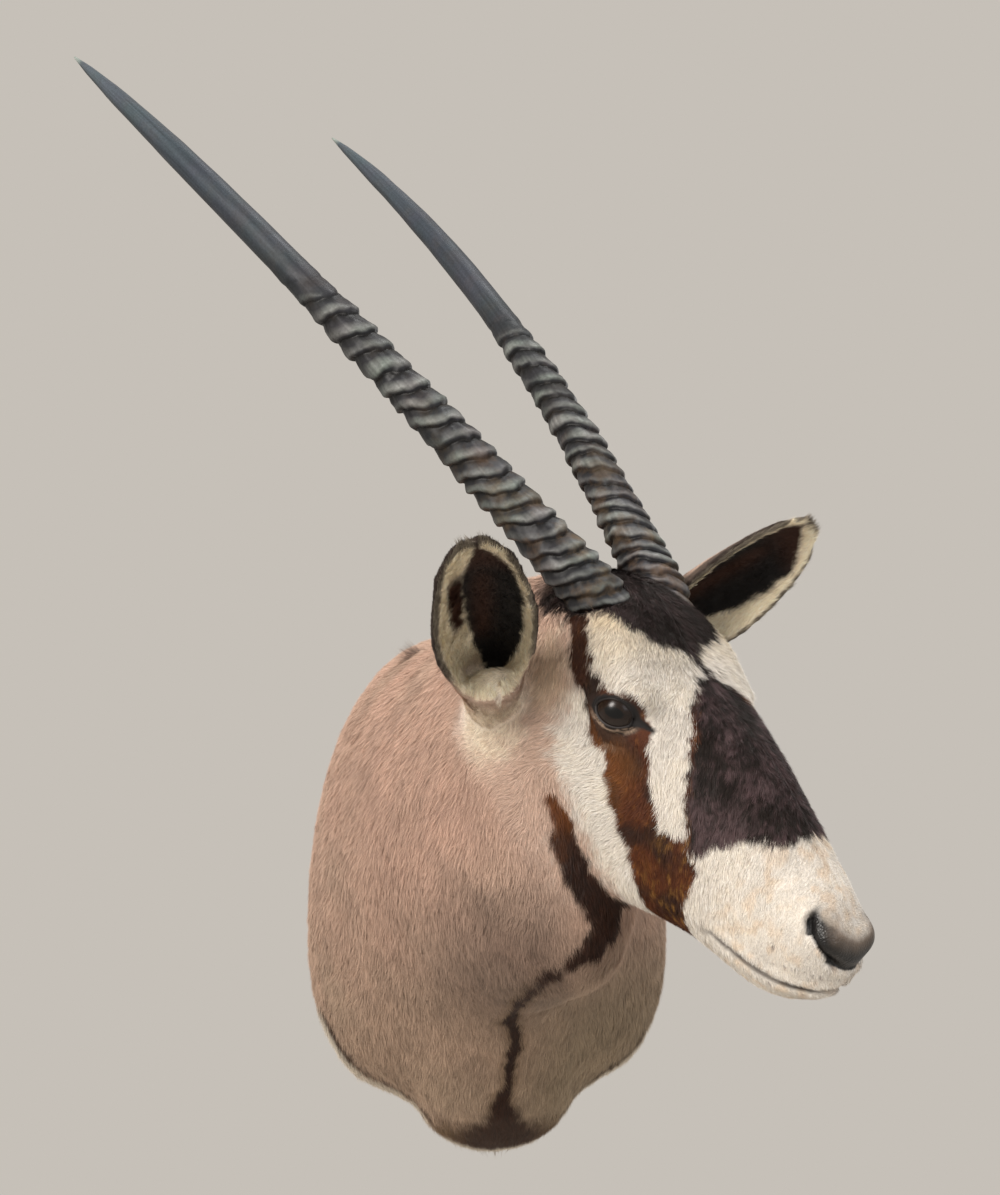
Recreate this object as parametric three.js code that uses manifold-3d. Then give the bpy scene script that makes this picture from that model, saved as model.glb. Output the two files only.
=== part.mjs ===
// Gemsbok shoulder mount: a mounted hide with its pair of ringed horns and glass eyes, on a
// plywood back board with a keyhole hanger.
//
// Millimetres, +Z up. The origin is the centre of the back board's rear face, on the wall.
// The wall is the plane Y = 0, and the animal looks out along -Y, its head turned to its left (+X).
// The head has a frame of its own, placed by a nested group:
//   +X forwards to the nose, +Y to the animal's left, +Z out of the forehead,
//   with its origin on the skin of the forehead, midway between the two horns.

import * as THREE from 'three';
import { mergeVertices } from 'three/addons/utils/BufferGeometryUtils.js';
import Module from 'manifold-3d';

const wasm = await Module();
wasm.setup();

// ---------------------------------------------------------------- driving dimensions

const HEAD_ORIGIN = [98, -499, 255];      // from the wall's origin to the forehead
const HEAD_YAW = 45.5;                    // degrees, turned to the animal's left
const HEAD_PITCH = 40.1;                  // degrees, nose down
const HEAD_ROLL = -3;                     // degrees, about the line of the face
const FIT_GAP = 0.4;                      // clearance between separate pieces

const HORN_SPACING = 84;                  // between the two horn bases, centre to centre
const HORN_LENGTH = 787;                  // straight from base to tip
const HORN_RISE = 6.2;                    // degrees above the line of the face
const HORN_SPREAD = 9;                    // degrees each horn leans outwards
const HORN_BOW_BACK = 21;                 // sagitta of the bend that carries the tip backwards
const HORN_BOW_OUT = 26;                  // sagitta of the bend that carries the middle outwards
const HORN_RADIUS = 22;                   // at the base
const HORN_RINGED_LENGTH = 435;           // from the base to the last ring
const HORN_ROOT = 34;                     // how far the horn's root reaches into the hide
const RING_HEIGHT = 2.6;

const EYE_RADIUS = 17;
const EYE_CENTRE = [87, 66, -43];         // in the head's frame, left eye

const EAR_LENGTH = 206;
const EAR_WALL = 6;
// In the head's frame: the ear's root, the way it points and the way its cup faces.
const EARS = {
  left: { root: [-22, 72, -88], axis: [0.18, 0.38, 0.9], opening: [0.92, -0.38, 0] },
  right: { root: [-8, -80, -112], axis: [0.05, -0.65, 0.76], opening: [0.95, -0.2, -0.2] },
};

const BOARD_THICKNESS = 18;
const BOARD_INSET = 13;                   // the hide's rim around the board
const BOARD_PROUD = 1.5;                  // the board stands this far behind the hide

const PLATE_WIDTH = 90;
const PLATE_HEIGHT = 60;
const PLATE_THICKNESS = 2.5;
const PLATE_CENTRE_Z = 120;
const PLATE_RECESS = 5;                   // depth of the recess that holds plate and screw heads
const KEYHOLE_RADIUS = 7;
const KEYSLOT_RADIUS = 3.2;
const KEYSLOT_LENGTH = 15;
const KEYHOLE_DROP = 6;                   // the keyhole's centre below the plate's centre
const KEY_POCKET_WIDTH = 22;
const KEY_POCKET_HEIGHT = 40;
const KEY_POCKET_DEPTH = 14;
const SCREW_HEAD_RADIUS = 4;
const SCREW_HEAD_HEIGHT = 1.7;
const SCREW_SHANK_RADIUS = 1.9;
const SCREW_REACH = 11;                   // how deep the shank goes into the board
const SCREW_SPREAD_X = 35;
const SCREW_SPREAD_Z = 20;

// ---------------------------------------------------------------- finishes

const finish = (color, roughness, metalness = 0) =>
  new THREE.MeshStandardMaterial({ color, roughness, metalness });
const HIDE = finish(0xb7a091, 0.85);
const HORN = finish(0x3a3a3c, 0.5);
const GLASS_EYE = finish(0x1c120d, 0.08);
const PLYWOOD = finish(0xc9a878, 0.75);
const ZINC_STEEL = finish(0xb5b8ba, 0.38, 0.9);

// ---------------------------------------------------------------- small helpers

const radians = THREE.MathUtils.degToRad;
const lerp = THREE.MathUtils.lerp;

// The value at t of a smooth curve through rows of [t, a, b, ...], as an array [a, b, ...].
function alongRows(rows, t) {
  const last = rows.length - 1;
  let i = 0;
  while (i < last - 1 && t > rows[i + 1][0]) i += 1;
  const [before, start, end, after] = [
    rows[Math.max(i - 1, 0)], rows[i], rows[i + 1], rows[Math.min(i + 2, last)],
  ];
  const span = end[0] - start[0];
  const u = THREE.MathUtils.clamp((t - start[0]) / span, 0, 1);
  return start.slice(1).map((value, k) => {
    const slopeStart = (end[k + 1] - before[k + 1]) / (end[0] - before[0]);
    const slopeEnd = (after[k + 1] - value) / (after[0] - start[0]);
    const [u2, u3] = [u * u, u * u * u];
    return (2 * u3 - 3 * u2 + 1) * value + (u3 - 2 * u2 + u) * span * slopeStart
      + (3 * u2 - 2 * u3) * end[k + 1] + (u3 - u2) * span * slopeEnd;
  });
}

// A closed solid from rings of points, each ring with the same even count. Both ends are capped
// flat, by rungs from each point of a ring's first half to its fellow in the second half.
function loftGeometry(rings) {
  const count = rings[0].length;
  const positions = [];
  const index = [];
  rings.forEach((ring) => ring.forEach((p) => positions.push(p.x, p.y, p.z)));
  for (let r = 0; r < rings.length - 1; r += 1) {
    for (let i = 0; i < count; i += 1) {
      const a = r * count + i;
      const b = r * count + ((i + 1) % count);
      index.push(a, b, a + count, b, b + count, a + count);
    }
  }
  const addCap = (offset, flip) => {
    for (let i = 0; i < count / 2 - 1; i += 1) {
      const [a, b, c, d] = [i, i + 1, count - 2 - i, count - 1 - i].map((k) => offset + k);
      index.push(...(flip ? [a, c, b, a, d, c] : [a, b, c, a, c, d]));
    }
  };
  addCap(0, true);
  addCap((rings.length - 1) * count, false);
  const geometry = new THREE.BufferGeometry();
  geometry.setAttribute('position', new THREE.Float32BufferAttribute(positions, 3));
  geometry.setIndex(index);
  return geometry;
}

// A closed smooth curve through half an outline and its mirror image, both in the plane X = x.
function closedSection(x, half, pointsPerSpan) {
  const mirroredHalf = half.slice(1, -1).reverse().map(([y, z]) => [-y, z]);
  const controls = [...half, ...mirroredHalf].map(([y, z]) => new THREE.Vector3(x, y, z));
  const curve = new THREE.CatmullRomCurve3(controls, true, 'centripetal');
  const steps = controls.length * pointsPerSpan;
  return Array.from({ length: steps }, (_, i) => curve.getPoint(i / steps));
}

// A geometry as a manifold-3d solid, turned right side out if its faces point inwards.
function toSolid(geometry) {
  const bare = geometry.clone();
  bare.deleteAttribute('normal');
  bare.deleteAttribute('uv');
  const merged = mergeVertices(bare, 1e-4);
  const triVerts = new Uint32Array(merged.index.array);
  const make = () => new wasm.Manifold(new wasm.Mesh({
    numProp: 3, vertProperties: merged.attributes.position.array, triVerts,
  }));
  const solid = make();
  if (solid.volume() > 0) return solid;
  for (let i = 0; i < triVerts.length; i += 3) {
    [triVerts[i + 1], triVerts[i + 2]] = [triVerts[i + 2], triVerts[i + 1]];
  }
  return make();
}

function toGeometry(solid) {
  const { vertProperties, triVerts } = solid.getMesh();
  const geometry = new THREE.BufferGeometry();
  geometry.setAttribute('position', new THREE.BufferAttribute(new Float32Array(vertProperties), 3));
  geometry.setIndex(new THREE.BufferAttribute(new Uint32Array(triVerts), 1));
  return geometry;
}

function namedMesh(name, geometry, material) {
  const mesh = new THREE.Mesh(geometry, material);
  mesh.name = name;
  return mesh;
}

// A round bar along Y, from yFront to yBack, at x and z.
function barAlongY(radius, yFront, yBack, x, z, sides) {
  return new THREE.CylinderGeometry(radius, radius, yBack - yFront, sides)
    .translate(x, (yFront + yBack) / 2, z);
}

// ---------------------------------------------------------------- the head's frame

const headGroup = new THREE.Group();
{
  const [yaw, pitch, roll] = [HEAD_YAW, HEAD_PITCH, HEAD_ROLL].map(radians);
  const forward = new THREE.Vector3(
    Math.sin(yaw) * Math.cos(pitch), -Math.cos(yaw) * Math.cos(pitch), -Math.sin(pitch));
  const levelUp = new THREE.Vector3(
    Math.sin(yaw) * Math.sin(pitch), -Math.cos(yaw) * Math.sin(pitch), Math.cos(pitch));
  const levelLeft = new THREE.Vector3().crossVectors(levelUp, forward);
  const up = levelUp.clone().multiplyScalar(Math.cos(roll))
    .addScaledVector(levelLeft, Math.sin(roll));
  const left = new THREE.Vector3().crossVectors(up, forward);
  headGroup.setRotationFromMatrix(new THREE.Matrix4().makeBasis(forward, left, up));
  headGroup.position.set(...HEAD_ORIGIN);
  headGroup.updateMatrixWorld(true);
}

// ---------------------------------------------------------------- the hide: head

// Lengthwise lines of the head, from the poll to the nose, as [x, y, z] in its frame. Each
// cross-section is one smooth closed curve through all of them, mirrored to the other side.
const CROWN = [
  [-95, 0, -48], [-60, 0, -16], [-30, 0, 8], [0, 0, 20], [20, 0, 20], [45, 0, 13], [77, 0, 2],
  [110, 0, -4], [150, 0, -10], [185, 0, -16], [220, 0, -27], [255, 0, -40], [285, 0, -49],
  [302, 0, -58], [314, 0, -70],
];
const RIDGE = [
  [-95, 20, -60], [-60, 36, -32], [-30, 45, -6], [0, 48, 8], [20, 50, 11], [42, 56, 8],
  [66, 60, 2], [95, 52, -9], [120, 42, -13], [145, 33, -15], [180, 27, -22], [220, 25, -35],
  [255, 25, -48], [285, 24, -58], [305, 21, -68], [314, 17, -77],
];
const BROW = [
  [-95, 30, -92], [-60, 50, -72], [-30, 62, -46], [0, 68, -28], [40, 77, -16], [66, 80, -13],
  [93, 76, -23], [115, 60, -29], [140, 48, -36], [180, 40, -46], [220, 36, -56], [255, 37, -66],
  [285, 37, -76], [305, 31, -84], [314, 24, -88],
];
const CHEEK = [
  [-95, 32, -130], [-60, 54, -118], [-25, 70, -104], [0, 74, -92], [40, 77, -76], [70, 74, -68],
  [100, 69, -68], [140, 57, -76], [180, 49, -84], [220, 44, -90], [255, 43, -94], [285, 41, -96],
  [305, 34, -98], [314, 25, -99],
];
const JAW = [
  [-95, 30, -165], [-60, 48, -160], [-25, 62, -155], [0, 67, -150], [40, 65, -146],
  [70, 62, -143], [100, 57, -140], [140, 48, -132], [180, 42, -124], [220, 39, -121],
  [255, 38, -120], [285, 34, -119], [305, 27, -115], [314, 19, -109],
];
const JAW_EDGE = [
  [-95, 18, -195], [-60, 32, -194], [-25, 42, -193], [0, 43, -191], [40, 42, -189],
  [70, 40, -189], [100, 35, -187], [125, 30, -183], [150, 27, -174], [184, 25, -163],
  [220, 25, -151], [255, 25, -147], [285, 22, -143], [305, 16, -132], [314, 11, -122],
];
const KEEL = [
  [-95, 0, -205], [-60, 0, -206], [-25, 0, -206], [0, 0, -204], [40, 0, -203], [70, 0, -205],
  [100, 0, -205], [125, 0, -200], [150, 0, -187], [184, 0, -171], [220, 0, -158], [255, 0, -154],
  [285, 0, -150], [305, 0, -139], [314, 0, -129],
];
const HEAD_BACK_X = -95;
const HEAD_FRONT_X = 314;
const HEAD_STATIONS = 24;
const NOSE_ROUNDING = [[4, 0.92], [8, 0.74], [10, 0.45]];   // [ahead of the front, scale]

function headGeometry() {
  const rails = [CROWN, RIDGE, BROW, CHEEK, JAW, JAW_EDGE, KEEL];
  const rings = [];
  for (let s = 0; s <= HEAD_STATIONS; s += 1) {
    const x = lerp(HEAD_BACK_X, HEAD_FRONT_X, s / HEAD_STATIONS);
    rings.push(closedSection(x, rails.map((rail) => alongRows(rail, x)), 3));
  }
  const front = rings[rings.length - 1];
  const middle = front.reduce((sum, p) => sum.add(p), new THREE.Vector3())
    .divideScalar(front.length);
  NOSE_ROUNDING.forEach(([ahead, scale]) => rings.push(front.map((p) => new THREE.Vector3(
    p.x + ahead, lerp(middle.y, p.y, scale), lerp(middle.z, p.z, scale)))));
  return loftGeometry(rings);
}

// ---------------------------------------------------------------- the hide: neck

// Half of the neck's outline at the wall, from the nape down to the brisket, as shares of its
// half width and half height: full shoulders, a notch, and the brisket's lobe between them.
const WALL_OUTLINE = [
  [0, 1], [0.28, 0.98], [0.54, 0.87], [0.78, 0.62], [0.94, 0.26], [1, -0.08], [0.99, -0.35],
  [0.92, -0.53], [0.78, -0.68], [0.6, -0.75], [0.46, -0.805], [0.36, -0.9], [0.2, -0.975],
  [0, -1],
];
// The neck's sections from the wall to inside the head:
// [t, nape x, y, z, throat x, y, z, half width, turn in degrees, share of the wall's outline]
const NECK = [
  [0, -12, 4, 262, 16, 4, -280, 184, 0, 1],
  [1, -11, -60, 261, 15, -60, -266, 183, 0, 1],
  [2, -8, -120, 257, 14, -130, -224, 176, 3, 0.75],
  [3, -3, -180, 252, 16, -195, -160, 161, 8, 0.3],
  [4, 5, -240, 250, 25, -262, -106, 140, 16, 0],
  [5, 15, -305, 253, 40, -335, -86, 121, 26, 0],
  [6, 28, -370, 262, 56, -405, -68, 104, 36, 0],
  [7, 40, -425, 270, 73, -456, -50, 86, 43, 0],
  [8, 52, -440, 255, 88, -486, 4, 62, 45, 0],
];
const NECK_STATIONS = 15;
const THROAT_NARROWING = 0.08;            // how much the neck's section tapers to the throat

// The neck's cross-section at t, as [across, up] pairs from the nape to the throat.
function neckHalfOutline(wide, high, wallShare) {
  return WALL_OUTLINE.map(([across, up]) => {
    const angle = Math.atan2(across, up);
    const egg = Math.sin(angle) * (1 + THROAT_NARROWING * Math.cos(angle));
    return [lerp(egg, across, wallShare) * wide, lerp(Math.cos(angle), up, wallShare) * high];
  });
}

function neckGeometry() {
  const rings = [];
  for (let s = 0; s <= NECK_STATIONS; s += 1) {
    const row = alongRows(NECK, (s / NECK_STATIONS) * (NECK.length - 1));
    const nape = new THREE.Vector3(...row.slice(0, 3));
    const throat = new THREE.Vector3(...row.slice(3, 6));
    const [wide, turn, wallShare] = row.slice(6);
    const up = nape.clone().sub(throat).normalize();
    const across = new THREE.Vector3(Math.cos(radians(turn)), Math.sin(radians(turn)), 0);
    across.addScaledVector(up, -across.dot(up)).normalize();
    const middle = nape.clone().add(throat).multiplyScalar(0.5);
    const half = neckHalfOutline(wide, nape.distanceTo(throat) / 2, wallShare);
    rings.push(closedSection(0, half, 2).map((p) =>
      middle.clone().addScaledVector(across, p.y).addScaledVector(up, p.z)));
  }
  return loftGeometry(rings);
}

// ---------------------------------------------------------------- the hide: ears

// The ear's cup along its length: [share of the length, radius of the arc, half angle of the arc
// in degrees, how far the back of the cup stands behind the ear's axis].
const EAR_CUP = [
  [-0.15, 19, 158, 19], [0, 22, 152, 22], [0.2, 28, 122, 26], [0.36, 37, 98, 25],
  [0.52, 43, 80, 20], [0.68, 45, 64, 13], [0.82, 43, 52, 7], [0.93, 37, 40, 2], [1, 28, 20, 0],
];
const EAR_STATIONS = 11;
const EAR_STEPS = 9;

function earGeometry(ear) {
  const axis = new THREE.Vector3(...ear.axis).normalize();
  const opening = new THREE.Vector3(...ear.opening);
  opening.addScaledVector(axis, -opening.dot(axis)).normalize();
  const across = new THREE.Vector3().crossVectors(axis, opening);
  const rings = [];
  for (let s = 0; s <= EAR_STATIONS; s += 1) {
    const share = lerp(EAR_CUP[0][0], 1, s / EAR_STATIONS);
    const [radius, halfAngle, back] = alongRows(EAR_CUP, share);
    const spot = (angle, r) => new THREE.Vector3(...ear.root)
      .addScaledVector(axis, share * EAR_LENGTH)
      .addScaledVector(across, r * Math.sin(angle))
      .addScaledVector(opening, radius - back - r * Math.cos(angle));
    const angles = Array.from({ length: EAR_STEPS + 1 }, (_, i) =>
      radians(halfAngle) * ((2 * i) / EAR_STEPS - 1));
    rings.push([
      ...angles.map((a) => spot(a, radius)),
      ...angles.reverse().map((a) => spot(a, radius - EAR_WALL)),
    ]);
  }
  return loftGeometry(rings);
}

// ---------------------------------------------------------------- horns

const HORN_SIDES = 10;
const ROOT_STATIONS = 3;
const RINGED_STATIONS = 48;
const SMOOTH_STATIONS = 9;
const RING_PITCH_BASE = 9.5;              // ring spacing at the base
const RING_PITCH_GROWTH = 13;             // how much wider it is at the last ring
// The horn's radius with no rings, as [share of the length, share of the base radius].
const HORN_TAPER = [
  [-0.05, 0.5], [-0.02, 0.86], [0, 1], [0.1, 0.87], [0.3, 0.73], [0.5, 0.645], [0.7, 0.555],
  [0.8, 0.475], [0.9, 0.335], [0.96, 0.19], [1, 0.04],
];

// A point on the horn's centre line, t from 0 at the base to 1 at the tip, in the head's frame.
function hornCentre(side, t) {
  const [rise, spread] = [radians(HORN_RISE), radians(HORN_SPREAD)];
  const bow = 4 * t * (1 - t);
  return new THREE.Vector3(
    -Math.cos(rise) * Math.cos(spread) * HORN_LENGTH * t,
    side * (HORN_SPACING / 2 + Math.sin(spread) * HORN_LENGTH * t + bow * HORN_BOW_OUT),
    Math.sin(rise) * Math.cos(spread) * HORN_LENGTH * t + bow * HORN_BOW_BACK,
  );
}

// How far the rings stand out, at a distance along the horn.
function ringHeight(distance) {
  const share = distance / HORN_RINGED_LENGTH;
  if (share < 0 || share > 1) return 0;
  const count = (HORN_RINGED_LENGTH / RING_PITCH_GROWTH)
    * Math.log1p((share * RING_PITCH_GROWTH) / RING_PITCH_BASE);
  const fade = Math.min(1, share * 12) * Math.min(1, (1 - share) * 3);
  return (0.5 - 0.5 * Math.cos(count * 2 * Math.PI)) * RING_HEIGHT * fade;
}

// Stations along the horn from t = start: close together where it is ringed.
function hornStations(start) {
  const ringed = HORN_RINGED_LENGTH / HORN_LENGTH;
  const steps = (from, to, count) =>
    Array.from({ length: count }, (_, i) => lerp(from, to, i / count));
  return [
    ...steps(start, 0, ROOT_STATIONS),
    ...steps(0, ringed, RINGED_STATIONS),
    ...steps(ringed, 1, SMOOTH_STATIONS),
    1,
  ];
}

// The horn's loft through the given stations, its radius grown by the given amount.
function hornLoft(side, stations, grow) {
  return loftGeometry(stations.map((t) => {
    const centre = hornCentre(side, t);
    const tangent = hornCentre(side, t + 1e-3).sub(hornCentre(side, t - 1e-3)).normalize();
    const outwards = new THREE.Vector3(0, side, 0).addScaledVector(tangent, -side * tangent.y)
      .normalize();
    const upwards = new THREE.Vector3().crossVectors(tangent, outwards);
    const radius = alongRows(HORN_TAPER, t)[0] * HORN_RADIUS + ringHeight(t * HORN_LENGTH) + grow;
    return Array.from({ length: HORN_SIDES }, (_, i) => {
      const angle = (i / HORN_SIDES) * 2 * Math.PI;
      return centre.clone()
        .addScaledVector(outwards, Math.cos(angle) * radius)
        .addScaledVector(upwards, Math.sin(angle) * radius);
    });
  }));
}

const hornGeometry = (side) => hornLoft(side, hornStations(-HORN_ROOT / HORN_LENGTH), 0);

// The room that a horn's root takes in the hide, with a small clearance.
const SEAT_END = 0.25;                    // share of the horn's length that the seat follows
const hornSeat = (side) => hornLoft(
  side, [-(HORN_ROOT + FIT_GAP) / HORN_LENGTH,
    ...hornStations(-HORN_ROOT / HORN_LENGTH).filter((t) => t < SEAT_END)], 2 * FIT_GAP);

// ---------------------------------------------------------------- back board and hanger

// The board's outline follows the neck's own outline at the wall, drawn in by the inset.
function boardOutline(inset) {
  const [napeX, , napeZ, throatX, , throatZ, wide] = NECK[0].slice(1);
  const half = neckHalfOutline(wide - inset, (napeZ - throatZ) / 2 - inset, 1);
  const outline = closedSection(0, half, 1).map((p) => new THREE.Vector2(
    p.y + (napeX + throatX) / 2, p.z + (napeZ + throatZ) / 2));
  return new THREE.Shape(outline);
}

// An extruded outline from yFront to yBack, at height z.
function slab(shape, yFront, yBack, z) {
  return new THREE.ExtrudeGeometry(shape, {
    depth: yBack - yFront, bevelEnabled: false, curveSegments: 3,
  }).rotateX(Math.PI / 2).translate(0, yBack, z);
}

function roundedRectangle(width, height, radius) {
  const [x, y] = [width / 2, height / 2];
  const shape = new THREE.Shape();
  shape.moveTo(-x + radius, -y);
  shape.lineTo(x - radius, -y);
  shape.absarc(x - radius, -y + radius, radius, -Math.PI / 2, 0);
  shape.lineTo(x, y - radius);
  shape.absarc(x - radius, y - radius, radius, 0, Math.PI / 2);
  shape.lineTo(-x + radius, y);
  shape.absarc(-x + radius, y - radius, radius, Math.PI / 2, Math.PI);
  shape.lineTo(-x, -y + radius);
  shape.absarc(-x + radius, -y + radius, radius, Math.PI, 1.5 * Math.PI);
  return shape;
}

const SCREW_PLACES = [[-1, -1], [1, -1], [-1, 1], [1, 1]].map(([i, j]) =>
  [i * SCREW_SPREAD_X, PLATE_CENTRE_Z + j * SCREW_SPREAD_Z]);
const CORNER_RADIUS = 5;
const HOLE_SIDES = 10;

function boardGeometry() {
  let board = toSolid(slab(boardOutline(BOARD_INSET), -BOARD_THICKNESS, 0, 0));
  const cut = (geometry) => { board = board.subtract(toSolid(geometry)); };
  const recess = roundedRectangle(
    PLATE_WIDTH + 2 * FIT_GAP, PLATE_HEIGHT + 2 * FIT_GAP, CORNER_RADIUS + FIT_GAP);
  cut(slab(recess, -PLATE_RECESS, 1, PLATE_CENTRE_Z));
  const pocket = roundedRectangle(KEY_POCKET_WIDTH, KEY_POCKET_HEIGHT, CORNER_RADIUS);
  cut(slab(pocket, -KEY_POCKET_DEPTH, 0, PLATE_CENTRE_Z));
  SCREW_PLACES.forEach(([x, z]) => cut(barAlongY(
    SCREW_SHANK_RADIUS + FIT_GAP, -PLATE_RECESS - SCREW_REACH - 1, 0, x, z, HOLE_SIDES)));
  return toGeometry(board);
}

function plateGeometry() {
  const front = -PLATE_RECESS + FIT_GAP;
  const back = front + PLATE_THICKNESS;
  const outline = roundedRectangle(PLATE_WIDTH, PLATE_HEIGHT, CORNER_RADIUS);
  let plate = toSolid(slab(outline, front, back, PLATE_CENTRE_Z));
  const cut = (geometry) => { plate = plate.subtract(toSolid(geometry)); };
  const keyholeZ = PLATE_CENTRE_Z - KEYHOLE_DROP;
  cut(barAlongY(KEYHOLE_RADIUS, front - 1, back + 1, 0, keyholeZ, 2 * HOLE_SIDES));
  cut(new THREE.BoxGeometry(2 * KEYSLOT_RADIUS, PLATE_THICKNESS + 2, KEYSLOT_LENGTH)
    .translate(0, (front + back) / 2, keyholeZ + KEYSLOT_LENGTH / 2));
  cut(barAlongY(KEYSLOT_RADIUS, front - 1, back + 1, 0, keyholeZ + KEYSLOT_LENGTH, HOLE_SIDES));
  SCREW_PLACES.forEach(([x, z]) => cut(barAlongY(
    SCREW_SHANK_RADIUS + FIT_GAP, front - 1, back + 1, x, z, HOLE_SIDES)));
  return toGeometry(plate);
}

// A pan-head screw that points forwards, its slotted head on the plate.
function screwGeometry(x, z) {
  const seat = -PLATE_RECESS + PLATE_THICKNESS + 2 * FIT_GAP;
  const headTop = seat + SCREW_HEAD_HEIGHT;
  const tip = -PLATE_RECESS - SCREW_REACH;
  const profile = [
    [0, headTop], [SCREW_HEAD_RADIUS * 0.7, headTop], [SCREW_HEAD_RADIUS, headTop - 0.8],
    [SCREW_HEAD_RADIUS, seat], [SCREW_SHANK_RADIUS, seat], [SCREW_SHANK_RADIUS, tip + 3], [0, tip],
  ].map(([r, y]) => new THREE.Vector2(r, y));
  const turned = toSolid(new THREE.LatheGeometry(profile, 10));
  const slot = toSolid(new THREE.BoxGeometry(2 * SCREW_HEAD_RADIUS + 1, 1.6, 1)
    .translate(0, headTop, 0));
  return toGeometry(turned.subtract(slot)).translate(x, 0, z);
}

// ---------------------------------------------------------------- the hide as one solid

const eyeBall = (radius) => new THREE.SphereGeometry(radius, 14, 9);

function hideGeometry() {
  const inHead = (geometry) => toSolid(geometry.applyMatrix4(headGroup.matrixWorld));
  let hide = toSolid(neckGeometry()).add(inHead(headGeometry()));
  Object.values(EARS).forEach((ear) => { hide = hide.add(inHead(earGeometry(ear))); });
  [1, -1].forEach((side) => {
    hide = hide.subtract(inHead(hornSeat(side)));
    const [x, y, z] = EYE_CENTRE;
    hide = hide.subtract(inHead(eyeBall(EYE_RADIUS + FIT_GAP).translate(x, side * y, z)));
  });
  const wallRoom = new THREE.BoxGeometry(900, 400, 900).translate(0, 200 - BOARD_PROUD, 0);
  hide = hide.subtract(toSolid(wallRoom));
  const boardRoom = slab(boardOutline(BOARD_INSET - FIT_GAP), -BOARD_THICKNESS - FIT_GAP, 5, 0);
  return toGeometry(hide.subtract(toSolid(boardRoom)));
}

// ---------------------------------------------------------------- assembly

const mount = new THREE.Group();
mount.name = 'gemsbok_shoulder_mount';
mount.add(headGroup);
mount.add(namedMesh('hide', hideGeometry(), HIDE));
[[1, 'left'], [-1, 'right']].forEach(([side, word]) => {
  headGroup.add(namedMesh(`horn_${word}`, toGeometry(toSolid(hornGeometry(side))), HORN));
  const eye = namedMesh(`eye_${word}`, eyeBall(EYE_RADIUS), GLASS_EYE);
  eye.position.set(EYE_CENTRE[0], side * EYE_CENTRE[1], EYE_CENTRE[2]);
  headGroup.add(eye);
});
mount.add(namedMesh('back_board', boardGeometry(), PLYWOOD));
mount.add(namedMesh('hanger_plate', plateGeometry(), ZINC_STEEL));
SCREW_PLACES.forEach(([x, z], i) => {
  mount.add(namedMesh(`hanger_screw_${i + 1}`, screwGeometry(x, z), ZINC_STEEL));
});

export default mount;
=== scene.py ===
# %% [markdown]
# # A gemsbok shoulder mount
# A gemsbok is a large antelope of southern Africa, with a striped face and two long ringed horns.
# A shoulder mount is its tanned skin, drawn over a light form and hung on a wall. This file dresses
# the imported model: it makes the skin, the coat of hair, the horns and the eyes, and finishes the
# plywood board and its hanger. Lengths are in metres, and tables of points are in millimetres.

# %% Load the frame
import math
from types import SimpleNamespace

import bpy
import numpy as np
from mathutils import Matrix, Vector


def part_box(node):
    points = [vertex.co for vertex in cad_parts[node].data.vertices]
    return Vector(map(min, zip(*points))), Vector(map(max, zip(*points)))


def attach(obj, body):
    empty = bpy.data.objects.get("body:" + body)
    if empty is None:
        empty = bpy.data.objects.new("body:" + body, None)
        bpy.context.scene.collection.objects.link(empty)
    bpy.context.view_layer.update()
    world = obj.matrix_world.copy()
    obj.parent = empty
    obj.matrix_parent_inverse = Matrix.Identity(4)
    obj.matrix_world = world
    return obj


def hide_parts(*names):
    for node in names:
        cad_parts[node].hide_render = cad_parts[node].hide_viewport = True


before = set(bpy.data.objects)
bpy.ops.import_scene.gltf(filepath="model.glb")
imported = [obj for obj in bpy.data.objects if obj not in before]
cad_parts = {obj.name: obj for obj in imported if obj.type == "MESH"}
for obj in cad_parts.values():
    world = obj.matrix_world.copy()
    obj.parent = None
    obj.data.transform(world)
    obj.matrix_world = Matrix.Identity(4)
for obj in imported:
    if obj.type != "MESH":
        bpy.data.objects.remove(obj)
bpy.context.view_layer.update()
MM = 0.001
chance = np.random.default_rng(11)
print("nodes:", sorted(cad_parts))

# %% [markdown]
# ## Camera, light and floor
# The camera looks slightly up at the mount, as a visitor does. The light is soft and comes mainly
# from the upper left, so the horns' rings and the hair get small clear shadows. There is no wall
# behind the mount, because a wall would hide it from the other side.

# %% Camera
CAMERA_PLACE = Vector((-0.07477, -1.79918, 0.11756))
CAMERA_TARGET = Vector((0.00941, -0.210, 0.28567))
CAMERA_LENS = 49.565
SENSOR_HEIGHT = 36

bpy.ops.object.camera_add(location=CAMERA_PLACE)
camera = bpy.context.object
camera.rotation_euler = (CAMERA_TARGET - CAMERA_PLACE).to_track_quat("-Z", "Y").to_euler()
camera.data.sensor_fit = "VERTICAL"
camera.data.sensor_height = SENSOR_HEIGHT
camera.data.lens = CAMERA_LENS
bpy.context.scene.camera = camera
print("camera distance:", round((CAMERA_TARGET - CAMERA_PLACE).length, 3))


# %% Colours and background
def linear(code):
    """An sRGB colour such as "c8c2bb" as the linear RGB that Blender's sockets take."""
    values = np.array([int(code[i:i + 2], 16) for i in (0, 2, 4)]) / 255
    return np.where(values < 0.04045, values / 12.92, ((values + 0.055) / 1.055) ** 2.4)


def rgba(code):
    return (*linear(code), 1.0)


BACKGROUND = "c6c0b8"
bpy.context.scene.view_settings.view_transform = "Standard"
world = bpy.data.worlds.new("pale studio")
world.use_nodes = True
world.node_tree.nodes["Background"].inputs["Color"].default_value = rgba(BACKGROUND)
bpy.context.scene.world = world
print("background:", BACKGROUND)


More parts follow.
